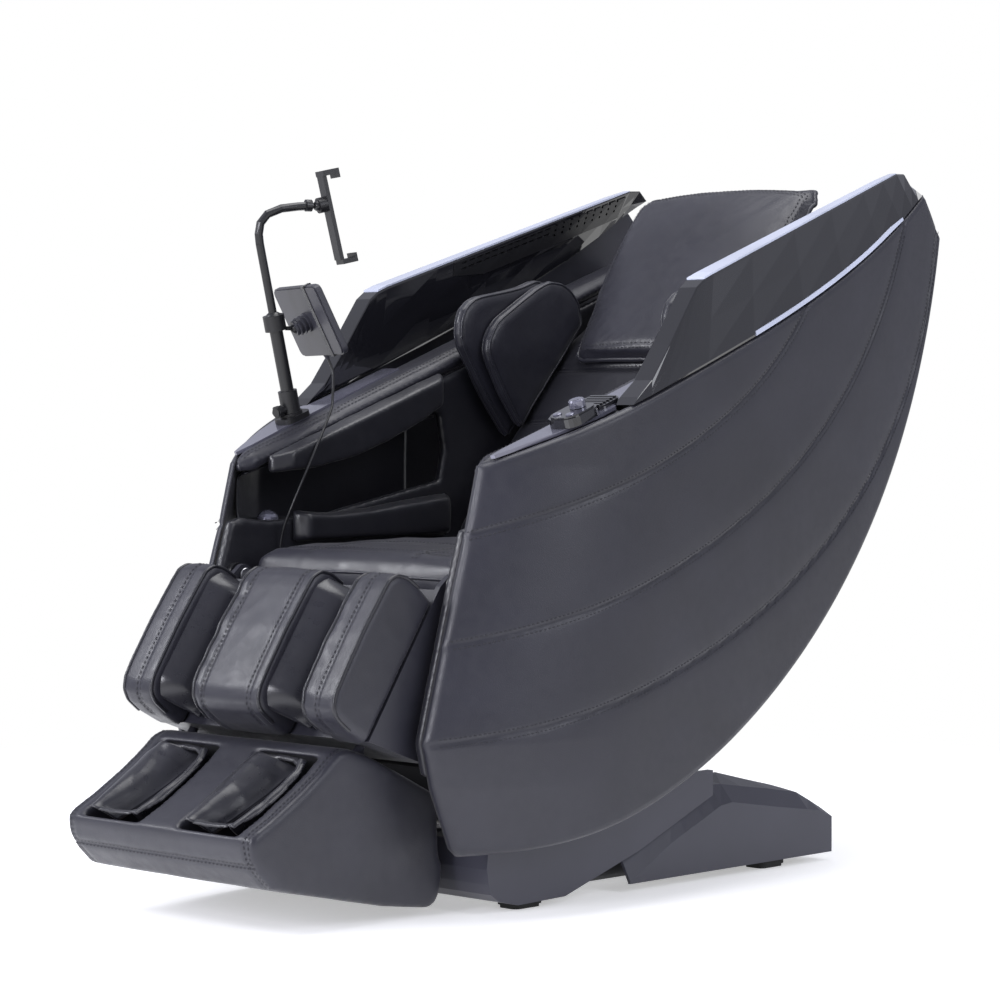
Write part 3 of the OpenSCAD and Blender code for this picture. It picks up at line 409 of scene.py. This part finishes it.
def inflate(o, held, cap):
    """Blows the cover up as cloth, held where held is 1, and keeps at most cap of the movement."""
    before, _ = arrays(o)
    group = o.vertex_groups.new(name="held")
    for i, k in enumerate(held):
        if k > 0.05:
            group.add([i], float(min(1.0, k)), "REPLACE")
    md = o.modifiers.new("cloth", "CLOTH")
    cloth = md.settings
    cloth.quality = 5
    cloth.mass = 0.3
    cloth.tension_stiffness = cloth.compression_stiffness = 14
    cloth.shear_stiffness = 6
    cloth.bending_stiffness = 0.6
    cloth.use_pressure = True
    cloth.uniform_pressure_force = 4
    cloth.effector_weights.gravity = 0
    cloth.vertex_group_mass = "held"
    md.collision_settings.use_collision = False
    md.point_cache.frame_start = 1
    md.point_cache.frame_end = 20
    for frame_number in range(1, 21):
        bpy.context.scene.frame_set(frame_number)
    me = o.evaluated_get(bpy.context.evaluated_depsgraph_get()).to_mesh()
    after = np.empty(len(before) * 3)
    me.vertices.foreach_get("co", after)
    move = after.reshape(-1, 3) - before
    size = np.linalg.norm(move, axis=1, keepdims=True)
    move *= np.minimum(1.0, cap / np.maximum(size, 1e-9))
    o.modifiers.clear()
    bpy.context.scene.frame_set(1)
    put(o, before + move)


def soft(node, material, voxel=0.005, iters=8, grooves=(), depth=0.0035, width=0.006, amp=0.0009, freq=14,
         name=None, puff=0.0, puff_width=0.05, seed=0.0, shrink=0.0, cap=0.0, strips=None):
    """A leather pad made from a CAD solid: rounded over, swollen between its seams and softly creased."""
    o = bpy.data.objects.new(name or "soft_" + node, N[node].data.copy())
    bpy.context.scene.collection.objects.link(o)
    baked(o, [("REMESH", {"mode": "VOXEL", "voxel_size": voxel}),
              ("SMOOTH", {"factor": 0.5, "iterations": iters})])
    co, no = arrays(o)
    g = near(co, grooves, width)
    if cap:
        low = (co[:, 2] < co[:, 2].min() + 0.004) if node == "seat_cushion" else 0
        inflate(o, np.maximum(g, low), cap)
        co, no = arrays(o)
    far = 1 - near(co, grooves, puff_width) if puff and grooves else 0
    if puff or grooves or shrink:
        co = co + no * (puff * np.asarray(far) - shrink - depth * g)[:, None]
    loose = np.array([strips(c) for c in co]) if strips else 1
    co = crumple(co, no, amp, freq, seed, (1, 1, 1), (1 - 0.7 * g) * loose)
    put(o, co)
    return settle(o, node, material, None)


def piping(name, o, line, r=0.0022, material=None, closed=True, lift=0.0004, node=None):
    """A welt along a line, laid on the surface of o."""
    pts, _ = on_surface(o, line, lift)
    p = tube(name, pts, r, material or "pad_leather", closed)
    return follow(p, node)


def double_row(o, line, off=0.0042, lift=0.0006):
    """Two rows beside a line on the surface of o."""
    tree = tree_of(o)
    rows = []
    for s in (-1, 1):
        pts, nos = [], []
        for i, p in enumerate(line):
            t = (line[min(i + 1, len(line) - 1)] - line[max(i - 1, 0)]).normalized()
            q, n, _, _ = tree.find_nearest(p)
            side = n.cross(t).normalized()
            q2, n2, _, _ = tree.find_nearest(q + side * s * off)
            pts.append(q2 + n2 * lift)
            nos.append(n2)
        rows.append((pts, nos))
    return rows


# ---------------------------------------------------------------- side shells
# the shells seen from the side, in mm: front edge, then lower edge, upper edge and seams as curves (y, z)
FRONT_Z = [60, 98, 111, 204, 272, 381, 483, 587, 682]
FRONT_Y = [-384, -389, -404, -444, -460, -429, -400, -368, -343]
LOW = [(-389, 98), (180, 125), (653, 573), (741, 1069)]
TOP = [(-343, 682), (-8, 824), (424, 943), (684, 1136)]
SEAMS = [[(-464, 270), (41, 320), (664, 555), (726, 1093)], [(-429, 413), (-5, 493), (453, 656), (614, 1084)],
         [(-382, 575), (-141, 648), (158, 728), (317, 938)]]


def bez(p, t):
    """The point at t of a cubic curve with the four corners p."""
    a, b, c, d = (np.array(q, float) for q in p)
    return (1 - t) ** 3 * a + 3 * (1 - t) ** 2 * t * b + 3 * (1 - t) * t * t * c + t ** 3 * d


def bulge(y, z):
    """How far the shell stands out from the middle, in mm: it swells behind its front edge, then tapers."""
    f = np.interp(z, FRONT_Z, FRONT_Y)
    u = max(0.0, (y - f) / (754 - f))
    return 288 + 109 * (1 - (1 - u / 0.3) ** 2.6) if u < 0.3 else 397 - 57 * ((u - 0.3) / 0.7) ** 2


def shell_at(s, t):
    """A point (y, z) of the shell between its four edge lines."""
    b, a = bez(LOW, s), bez(TOP, s)
    zf = LOW[0][1] + (TOP[0][1] - LOW[0][1]) * t
    f = np.array([np.interp(zf, FRONT_Z, FRONT_Y), zf])
    lo0, lo1, hi0, hi1 = (np.array(q, float) for q in (LOW[0], LOW[3], TOP[0], TOP[3]))
    r = lo1 + (hi1 - lo1) * t
    c = (lo0 + (lo1 - lo0) * s) * (1 - t) + (hi0 + (hi1 - hi0) * s) * t
    return b * (1 - t) + a * t + f * (1 - s) + r * s - c


EDGE_ROUND = 9.0     # radius of the shells' edges, mm
SHELL_THICK = 14     # a shell with its padding
SEAM_DEPTH, SEAM_WIDTH = 4.6, 2.8
DIP_DEPTH, DIP_WIDTH = 1.0, 16  # the padding dips beside a seam
STITCH_OFF = 5.8     # stitch rows run this far from their seam


def skin_x(y, z, seam, edge, sign):
    """Outer face of a side shell: sunk along its seams, rounded at its edges."""
    r = EDGE_ROUND
    turn = r - math.sqrt(max(0.0, r * r - (r - min(edge, r)) ** 2))
    groove = SEAM_DEPTH * math.exp(-(seam / SEAM_WIDTH) ** 2) + DIP_DEPTH * math.exp(-(seam / DIP_WIDTH) ** 2)
    sunk = groove + 0.75 * turn
    slack = 0.5 * noise.noise(Vector((y * 0.011, z * 0.011, sign))) * min(1, edge / 40)
    return bulge(y, z) - sunk + slack


def shell_row(sign, curve, off):
    """Points and normals of a stitch row beside a seam of a side shell."""
    pts, nos = [], []
    for k in range(421):
        t = 0.014 + k / 420 * 0.974
        (y0, z0), (y1, z1) = bez(curve, t - 0.002), bez(curve, t + 0.002)
        h = math.hypot(y1 - y0, z1 - z0)
        y, z = (y0 + y1) / 2 - (z1 - z0) / h * off, (z0 + z1) / 2 + (y1 - y0) / h * off
        x = skin_x(y, z, abs(off), 40, sign)
        gy = bulge(y + 1, z) - bulge(y - 1, z)
        gz = bulge(y, z + 1) - bulge(y, z - 1)
        pts.append(Vector((sign * x, y, z)) * MM)
        nos.append(Vector((sign, -gy / 2, -gz / 2)).normalized())
    return pts, nos


def distance_to(points):
    """A function that gives the distance in the (y, z) plane to the nearest of the points."""
    kd = KDTree(len(points))
    for i, q in enumerate(points):
        kd.insert((q[0], q[1], 0), i)
    kd.balance()
    return lambda y, z: kd.find((y, z, 0))[2]


def side_shell(sign, node):
    """One padded shell, with its inner face, its rim and the stitches beside its seams."""
    cols, rows = 190, 130
    ss = [(i / cols) ** 1.25 for i in range(cols + 1)]
    ts = [j / rows for j in range(rows + 1)]
    P = np.array([[shell_at(s, t) for s in ss] for t in ts])
    to_seam = distance_to([bez(q, k / 300) for q in SEAMS for k in range(301)])
    to_edge = distance_to(np.concatenate([P[0], P[-1], P[:, 0], P[:, -1]]))
    verts, faces = [], []
    for layer in (0, 1):
        for j in range(rows + 1):
            for i in range(cols + 1):
                y, z = P[j, i]
                if layer == 0:
                    x = skin_x(y, z, to_seam(y, z), to_edge(y, z), sign)
                else:
                    x = bulge(y, z) - SHELL_THICK
                verts.append((sign * x * MM, y * MM, z * MM))
    n = (cols + 1) * (rows + 1)
    for j in range(rows):
        for i in range(cols):
            a = j * (cols + 1) + i
            q = (a, a + 1, a + cols + 2, a + cols + 1)
            faces.append(q if sign > 0 else q[::-1])
            q2 = tuple(n + k for k in q[::-1])
            faces.append(q2 if sign > 0 else q2[::-1])
    rim = ([i for i in range(cols + 1)] + [(cols + 1) * j + cols for j in range(1, rows + 1)]
           + [rows * (cols + 1) + i for i in range(cols - 1, -1, -1)]
           + [(cols + 1) * j for j in range(rows - 1, 0, -1)])
    for k in range(len(rim)):
        a, b = rim[k], rim[(k + 1) % len(rim)]
        q = (a, a + n, b + n, b)
        faces.append(q if sign > 0 else q[::-1])
    o = obj_from("leather_" + node, verts, faces, "shell_leather")
    settle(o, node, "shell_leather")
    rows_ = [shell_row(sign, q, off) for q in SEAMS for off in (-STITCH_OFF, STITCH_OFF)]
    follow(stitches("stitches_" + node, rows_, length=0.0046, gap=0.0030, r=0.0009), node)


side_shell(1, "left_side_shell")
side_shell(-1, "right_side_shell")

# ---------------------------------------------------------------- seat cushion
CLOTH_CAP = 0.006  # the most that the cloth step may move a cover
SEAT_TOP = 0.556   # stitches are laid on the cushion from here
seat_lines = [[Vector((x, y, 0.545)) for x in np.linspace(-0.23, 0.23, 90)] for y in (-0.19, -0.06, 0.06)]
seat_lines += [[Vector((x, -0.300, 0.548)) for x in np.linspace(-0.235, 0.235, 90)]]
seat_lines += [[Vector((x, y, 0.55)) for y in np.linspace(-0.338, -0.19, 40)] for x in (-0.12, 0.12)]
seat = soft("seat_cushion", "pad_leather", 0.005, 6, seat_lines, 0.004, 0.007, 0.0016, 9, puff=0.002,
            seed=3.0, cap=CLOTH_CAP)
for k, y in enumerate((-0.300, -0.190)):
    line = [Vector((x, y, SEAT_TOP)) for x in np.linspace(-0.232, 0.232, 120)]
    follow(stitches(f"seat_stitches_{k}", double_row(seat, line)), "seat_cushion")
for k, x in enumerate((-0.12, 0.12)):
    line = [Vector((x, y, SEAT_TOP)) for y in np.linspace(-0.334, -0.196, 60)]
    follow(stitches(f"seat_cross_stitches_{k}", double_row(seat, line)), "seat_cushion")
SEAT_RIM = [(-0.236, -0.336), (0, -0.339), (0.236, -0.336), (0.2375, 0), (0.236, 0.134), (0, 0.137),
            (-0.236, 0.134), (-0.2375, 0)]
rim = spline([(x, y, 0.512) for x, y in SEAT_RIM], 260, True)
piping("seat_piping", seat, rim, 0.0024, node="seat_cushion")

# ---------------------------------------------------------------- back pad and pillow
BACK_SEAMS = (-79, 41, 161)
back_grooves = [[back(x, v, 4) for x in np.linspace(-232, 232, 90)] for v in BACK_SEAMS]
pad = soft("back_pad", "dark_leather", 0.005, 5, back_grooves, 0.003, 0.007, 0.0008, 10, seed=1.0,
           shrink=0.0014)  # set in, clear of the massage arms behind it
for k, v in enumerate(BACK_SEAMS):
    line = [back(x, v, 4) for x in np.linspace(-225, 225, 120)]
    follow(stitches(f"back_stitches_{k}", double_row(pad, line)), "back_pad")
# half of the pillow's outline, from its foot up, in mm across and along the back
PILLOW_SIDE = [(150, 167), (169, 184), (178, 215), (190, 290), (201, 340), (205, 430), (205, 520), (190, 546)]


def pillow_line(v):
    """Height of the pillow's middle plane over the back."""
    return float(np.interp(v, [165, 250, 330, 367, 421, 500, 550], [6, 4, 7, 10, 15, 16, 12]))


def pillow_ring(f, lift):
    """A closed line round the pillow, f of its size."""
    middle = 358
    pts = [(0, 165)] + PILLOW_SIDE + [(0, 549)] + [(-x, v) for x, v in PILLOW_SIDE[::-1]]
    return spline([back(x * f, middle + (v - middle) * f, pillow_line(v) + lift) for x, v in pts], 360, True)


PILLOW_SEAM = pillow_ring(0.90, 24)
pillow = soft("head_pillow", "pad_leather", 0.005, 5, [PILLOW_SEAM], 0.0022, 0.006, amp=0.0010, freq=8,
              seed=5.0, name="pillow", puff=0.002, cap=CLOTH_CAP)
piping("pillow_piping", pillow, pillow_ring(0.99, 3), 0.0042, node="head_pillow")
follow(stitches("pillow_stitches", double_row(pillow, PILLOW_SEAM)), "head_pillow")


# ---------------------------------------------------------------- pads built from an outline
def outline_ring(to, x, outline, f):
    """The outline at x, shrunk to f about its middle."""
    c = np.mean(np.array(outline, float), 0)
    return [to(x, *(c + (np.array(p) - c) * f)) for p in outline]


# outlines of the shoulder pads, in mm along the back and out of it
INNER = [(18, 6), (55, 8), (180, 4), (262, 4), (286, 34), (290, 62), (284, 88), (265, 115), (232, 134),
         (130, 170), (104, 172), (82, 168), (65, 158), (55, 142), (32, 75)]
OUTER = [(2, -1), (40, -3), (200, -3), (262, 12), (276, 60), (274, 100), (262, 122), (219, 150), (143, 213),
         (122, 224), (101, 227), (78, 220), (60, 206), (48, 190), (16, 80)]
SHOULDER_PADS = (("inner_shoulder_pads", INNER, 196, 221.5), ("outer_shoulder_pads", OUTER, 223.5, 249.5))
for node, outline, x0, x1 in SHOULDER_PADS:
    o = soft(node, "pad_leather", 0.003, 4, [], amp=0.0008, freq=16, seed=2.0)
    for sgn in (-1, 1):
        for k, x in enumerate((x0 + 4, x1 - 4)):
            ring = spline(outline_ring(back, sgn * x, outline, 0.955), 220, True)
            piping(f"{node}_piping_{'rl'[sgn > 0]}{k}", o, ring, 0.0021, node=node)

# ---------------------------------------------------------------- calf ridges
# outline of the calf ridges, in mm along the leg and out of it
RIDGE = [(14, -94.7), (20, -60), (19, -32), (12, -12), (-4, -1.5), (-24, 0.5), (-100, 3), (-180, 1),
         (-206, -1), (-224, -9), (-234, -25), (-237, -55), (-233, -94.7)]
RIDGE_MIDDLE = np.array([-105, -40])
for node, x0, x1, signs in (("calf_middle_pad", -77.5, 77.5, (1,)), ("calf_outer_pads", 170, 243, (1, -1))):
    lines = []
    for sgn in signs:
        for x in ((x0 + 24, x1 - 24) if node == "calf_middle_pad" else (x0 + 34,)):
            lines.append(spline([leg(sgn * x, v, w) for v, w in RIDGE[1:-1]], 200))
    fold_x = -0.077 if node == "calf_middle_pad" else 0.170
    o = soft(node, "shell_leather", 0.004, 5, lines, 0.0022, 0.004, 0.0007, 18, puff=0.001, seed=4.0,
             strips=lambda c: 4.0 if fold_x - 0.002 < c[0] < fold_x + 0.022 else 0.8)
    rows = []
    for line in lines:
        rows += double_row(o, line, 0.0042)
    follow(stitches("stitches_" + node, rows), node)
    for sgn in signs:
        for k, x in enumerate((x0 + 4, x1 - 4)):
            inset = [RIDGE_MIDDLE + (np.array(p) - RIDGE_MIDDLE) * 0.965 for p in RIDGE[1:-1]]
            ring = spline([leg(sgn * x, *p) for p in inset], 220)
            name = f"{node}_piping_{'rl'[sgn > 0]}{k}"
            piping(name, o, ring, 0.0031, closed=False, node=node, material="dark_leather")


def patch(name, grid, material, amp=0.0, freq=20, seed=0.0, thick=0.0, stretch=(1, 1, 1)):
    """A creased leather sheet over a grid of points, rows x cols, with its own thickness."""
    rows, cols = len(grid), len(grid[0])
    verts = [p for r in grid for p in r]
    corner = [j * cols + i for j in range(rows - 1) for i in range(cols - 1)]
    faces = [(a, a + 1, a + cols + 1, a + cols) for a in corner]
    o = obj_from(name, verts, faces, material)
    if amp:
        co, no = arrays(o)
        inset = [min(i, cols - 1 - i, j, rows - 1 - j) for j in range(rows) for i in range(cols)]
        e = np.array([min(1, k / 4) for k in inset])
        put(o, crumple(co, no, amp, freq, seed, stretch, e))
    if thick:
        baked(o, [("SOLIDIFY", {"thickness": thick, "offset": -1})])
        put(o, arrays(o)[0])
    return o


def lining(name, sgn, x_top, x_foot, belly, creases, seed):
    """A soft panel from a ridge's edge down into the channel beside it."""
    grid = []
    m, n = 70, 26
    for j in range(m + 1):
        u = j / m
        v = 8 - 228 * u
        ends = min(u, 1 - u, 0.14) / 0.14
        rise = math.sin(math.pi * ends / 2)
        row = []
        for i in range(n + 1):
            t = i / n
            lean = (0.25 * t + 0.75 * t * t) + belly * math.sin(math.pi * t) * rise
            x = x_top + (x_foot - x_top) * lean
            w = (-10 - 18 * (1 - rise)) + (-82 + 18 * (1 - rise)) * (t ** 1.25) * (0.9 + 0.1 * rise)
            row.append(leg(sgn * x, v, max(w, -94)))
        grid.append(row)
    if (x_foot - x_top) * sgn > 0:
        grid = [r[::-1] for r in grid]
    o = patch(name, grid, "shiny_leather", creases, 16, seed, 0.0025, (1, 0.5, 0.5))
    follow(o, "calf", "dark_leather")


for sgn in (1, -1):
    s = "rl"[sgn > 0]
    lining(f"lining_mid_{s}", sgn, 76, 122, 0.55, 0.0008, 1.0 + sgn)
    lining(f"lining_out_{s}", sgn, 171, 132, 0.55, 0.0012, 7.0 + sgn)

# ---------------------------------------------------------------- foot unit
# upper edge of the foot unit's sides, in mm along the leg and out of it
FOOT_RIM = [(-248, -86), (-262, -76), (-300, -64), (-340, -48), (-400, -20), (-434, -1), (-448, 3),
            (-458, -3), (-471, -17), (-481, -40), (-488, -76)]
# the foot unit's top, in mm out of the leg and along it
FOOT_TOP = [(3.4, -448), (-0.6, -434), (-19.6, -400), (-47.6, -340), (-63.6, -300), (-75.6, -262)]
gusset = [spline([leg(sgn * 199, v, w) for v, w in FOOT_RIM], 200) for sgn in (1, -1)]
front_seam = spline([leg(x, -476, -30) for x in (-204, -150, -60, 0, 60, 150, 204)], 160)
# seam down its front corners, as x, along and out
NOSE = [(196, -480, -40), (194, -488, -80), (192, -474, -122), (190, -444, -196)]
nose_seam = [spline([leg(sgn * x, v, w) for x, v, w in NOSE], 90) for sgn in (1, -1)]
foot_lines = gusset + [front_seam] + nose_seam
foot = soft("foot_shell", "shell_leather", 0.005, 5, foot_lines, 0.0024, 0.0042, 0.0006, 9, seed=6.0)
rows = []
for line in gusset + [front_seam]:
    rows += double_row(foot, line, 0.0042)
follow(stitches("foot_stitches", rows), "foot_shell")


def well_flap(name, cx, side, seed):
    """A loose shiny flap over one side of a foot well, narrowing towards the front."""
    grid = []
    m, n = 56, 26
    for j in range(m + 1):
        u = j / m
        v = -284 - 148 * u
        top = float(np.interp(v, [q[1] for q in FOOT_TOP], [q[0] for q in FOOT_TOP]))
        width = 66 - 12 * u ** 2 - 9 * max(0, 1 - u / 0.15)
        reach = (76 - 46 * u ** 1.5) if side < 0 else (22 - 6 * u)
        row = []
        for i in range(n + 1):
            t = i / n
            x = cx + side * width - side * reach * t
            arch = math.sin(math.pi * min(1, t * 1.08)) ** 0.8
            w = top + (15 if side < 0 else 8) * arch * (1 - 0.35 * u) - 30 * t ** 2.4 + 2
            row.append(leg(x, v, w))
        grid.append(row)
    if side > 0:
        grid = [r[::-1] for r in grid]
    o = patch(name, grid, "shiny_leather", 0.0030, 22, seed, 0.003, (1, 0.5, 0.5))
    follow(o, "foot", "dark_leather")
    e = [row[-1] if side < 0 else row[0] for row in grid]
    follow(tube(name + "_edge", [Vector(p) for p in e], 0.0030, "dark_leather"), "foot", "dark_leather")


for cx in (110, -110):
    s = "rl"[cx > 0]
    well_flap(f"flap_far_{s}", cx, -1, 3.0 + cx / 100)
    well_flap(f"flap_near_{s}", cx, 1, 8.0 + cx / 100)
soft("foot_collars", "dark_leather", 0.003, 3, [], amp=0.0006, freq=20)

# ---------------------------------------------------------------- arms
soft("arm_walls", "dark_leather", 0.005, 3, [], amp=0.0006, freq=9)
soft("upper_arm_pads", "dark_leather", 0.004, 6, [], amp=0.0014, freq=12, seed=1.5)
soft("lower_arm_pads", "dark_leather", 0.004, 6, [], amp=0.0014, freq=12, seed=2.5)
rest_lines = []
for sgn in (1, -1):
    rise = [(y, 686 + (y + 341) * 0.366 + 4) for y in range(-330, 300, 5)]
    rest_lines.append([Vector((sgn * 0.272, y * MM, z * MM)) for y, z in rise])
rests = soft("armrests", "shell_leather", 0.004, 3, rest_lines, 0.002, 0.004, 0.0005, 10)
rows = []
for line in rest_lines:
    rows += double_row(rests, line)
follow(stitches("armrest_stitches", rows), "armrests")


def tunnel(sgn):
    """Points and faces of one arm tunnel's lining: an inner and an outer sheet, joined at the rims."""
    cut = [(-322, 0), (-240, 14), (-120, 28), (0, 42), (112, 58)]  # y, and how far the roof rises there
    y0, y1, steps, around = -322, 112, 60, 30
    grids = []
    for inner in (1, 0):
        g = []
        for k in range(steps + 1):
            y = y0 + (y1 - y0) * k / steps
            c = float(np.interp(y, [q[0] for q in cut], [q[1] for q in cut]))
            x = min(346, bulge(y, 640 + c) - 17)
            if inner:
                p = [(274.2, 586), (x - 12, 586), (x - 3.5, 598), (x - 3.5, 648 + c), (x - 12, 659 + c * 1.6),
                     (274.2, 661 + c * 1.6)]
            else:
                p = [(274.2, 583), (x - 10, 583), (x, 596), (x, 650 + c), (x - 10, 662 + c * 1.6),
                     (274.2, 664 + c * 1.6)]
            g.append(spline([Vector((sgn * a * MM, y * MM, b * MM)) for a, b in p], around))
        grids.append(g)
    rows_, cols_ = steps + 1, around + 1
    verts = [p for g in grids for r in g for p in r]
    n = rows_ * cols_
    faces = []
    for j in range(rows_ - 1):
        for i in range(cols_ - 1):
            a = j * cols_ + i
            q = (a, a + 1, a + cols_ + 1, a + cols_)
            faces += [q, tuple(n + k for k in q[::-1])]
    for i in range(cols_ - 1):
        faces.append((i, n + i, n + i + 1, i + 1))
        b = (rows_ - 1) * cols_ + i
        faces.append((b + 1, n + b + 1, n + b, b))
    for j in range(rows_ - 1):
        a = j * cols_
        faces.append((a, a + cols_, n + a + cols_, n + a))
        b = a + cols_ - 1
        faces.append((n + b, n + b + cols_, b + cols_, b))
    return verts, faces


tv, tf = [], []
for sgn in (1, -1):
    v, f = tunnel(sgn)
    k = len(tv)
    tv += v
    tf += [tuple(k + i for i in q) if sgn < 0 else tuple(k + i for i in q[::-1]) for q in f]
tun = obj_from("tunnel_lining", tv, tf, "dark_leather")
settle(tun, "arm_tunnels", "dark_leather")

# ---------------------------------------------------------------- remote's strap and cord
band = bpy.data.objects.new("strap", N["remote_band"].data.copy())
bpy.context.scene.collection.objects.link(band)
baked(band, [("SUBSURF", {"subdivision_type": "SIMPLE", "levels": 2})])
settle(band, "remote_band", "fabric_black")

# route of the lead, from the back of the remote down to its grommet, in mm
CORD = [(-276.1, -135.56, 852), (-275.3, -133.5, 847.5), (-273, -130, 837), (-269.5, -130, 822),
        (-264, -135, 805), (-257, -143, 788), (-248, -153, 772), (-237, -171, 755), (-228, -188, 738),
        (-221.5, -204, 720), (-218, -220, 698), (-217.5, -234, 674), (-219, -246, 650),
        (-223, -256, 626), (-230, -263, 602), (-239, -267, 578), (-246, -268, 554), (-249, -268, 530),
        (-250, -268, 508), (-250, -268, 492), (-250, -268, 478)]
route = spline([Vector(p) * MM for p in CORD], 110)
cord = tube("remote_lead", route, 0.0023, "black_plastic", sides=10)
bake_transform(cord)
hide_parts("remote_cord")

# ---------------------------------------------------------------- stage, light, camera
me = bpy.data.meshes.new("floor")
me.from_pydata([(-9, -9, 0), (9, -9, 0), (9, 9, 0), (-9, 9, 0)], [], [(0, 1, 2, 3)])
floor = bpy.data.objects.new("floor", me)
bpy.context.scene.collection.objects.link(floor)
fm, ft, fb = principled("floor", (0.93, 0.93, 0.94), 0.6)
fb.inputs["Emission Color"].default_value = (1, 1, 1, 1)
fb.inputs["Emission Strength"].default_value = 0.42
reach = ft.nodes.new("ShaderNodeVectorMath")
reach.operation = "LENGTH"
ft.links.new(coords(ft), reach.inputs[0])
fade = ft.nodes.new("ShaderNodeMapRange")
fade.interpolation_type = "SMOOTHSTEP"
fade.inputs["From Min"].default_value = 1.0
fade.inputs["From Max"].default_value = 2.3
ft.links.new(reach.outputs["Value"], fade.inputs["Value"])
paper = ft.nodes.new("ShaderNodeEmission")
paper.inputs["Color"].default_value = (1, 1, 1, 1)
blend = ft.nodes.new("ShaderNodeMixShader")
ft.links.new(fade.outputs["Result"], blend.inputs[0])
ft.links.new(fb.outputs["BSDF"], blend.inputs[1])
ft.links.new(paper.outputs["Emission"], blend.inputs[2])
ft.links.new(blend.outputs["Shader"], ft.nodes["Material Output"].inputs["Surface"])
me.materials.append(fm)

world = bpy.data.worlds.new("studio")
bpy.context.scene.world = world
world.use_nodes = True
wt = world.node_tree
for n_ in list(wt.nodes):
    wt.nodes.remove(n_)
world_out = wt.nodes.new("ShaderNodeOutputWorld")
ambient = wt.nodes.new("ShaderNodeBackground")
ambient.inputs["Color"].default_value = (0.86, 0.88, 1.0, 1)
ambient.inputs["Strength"].default_value = 0.5
backdrop = wt.nodes.new("ShaderNodeBackground")
backdrop.inputs["Color"].default_value = (1, 1, 1, 1)
backdrop.inputs["Strength"].default_value = 1.0
seen_by = wt.nodes.new("ShaderNodeLightPath")
either = wt.nodes.new("ShaderNodeMixShader")
wt.links.new(seen_by.outputs["Is Camera Ray"], either.inputs[0])
wt.links.new(ambient.outputs[0], either.inputs[1])
wt.links.new(backdrop.outputs[0], either.inputs[2])
wt.links.new(either.outputs[0], world_out.inputs[0])


def area(name, pos, target, size, power, color=(1, 1, 1)):
    """A soft rectangular light, turned to its target."""
    d = bpy.data.lights.new(name, "AREA")
    d.shape = "RECTANGLE"
    d.size, d.size_y = size
    d.energy = power
    d.color = color
    o = bpy.data.objects.new(name, d)
    o.location = pos
    o.rotation_euler = (Vector(target) - Vector(pos)).to_track_quat("-Z", "Y").to_euler()
    bpy.context.scene.collection.objects.link(o)


area("key", (-2.6, -3.2, 2.9), (0, -0.2, 0.5), (1.6, 1.4), 120, (0.95, 0.96, 1.0))
area("front", (0.2, -4.6, 1.7), (0.2, -0.3, 0.5), (1.6, 1.6), 110, (0.93, 0.93, 1.0))
area("side", (4.2, 0.6, 2.6), (0.3, 0.2, 0.6), (2.0, 2.4), 55, (0.92, 0.94, 1.0))
area("top", (0, 0.3, 4.2), (0, 0, 0.6), (3.0, 3.0), 100, (1, 1, 1))

CAMERA_AT = (3.5509, -3.6859, 0.764)
CAMERA_AZIMUTH, CAMERA_DOWN = 43.99, 1.629  # degrees
CAMERA_LENS = 112.16  # mm
cam = bpy.data.cameras.new("camera")
cam.lens = CAMERA_LENS
cam.sensor_width = 36
cam.clip_end = 60
camera = bpy.data.objects.new("camera", cam)
camera.location = CAMERA_AT
az, pt = math.radians(CAMERA_AZIMUTH), math.radians(CAMERA_DOWN)
fwd = Vector((-math.sin(az) * math.cos(pt), math.cos(az) * math.cos(pt), -math.sin(pt)))
camera.rotation_euler = fwd.to_track_quat("-Z", "Y").to_euler()
bpy.context.scene.collection.objects.link(camera)
bpy.context.scene.camera = camera
bpy.context.scene.view_settings.view_transform = "Standard"
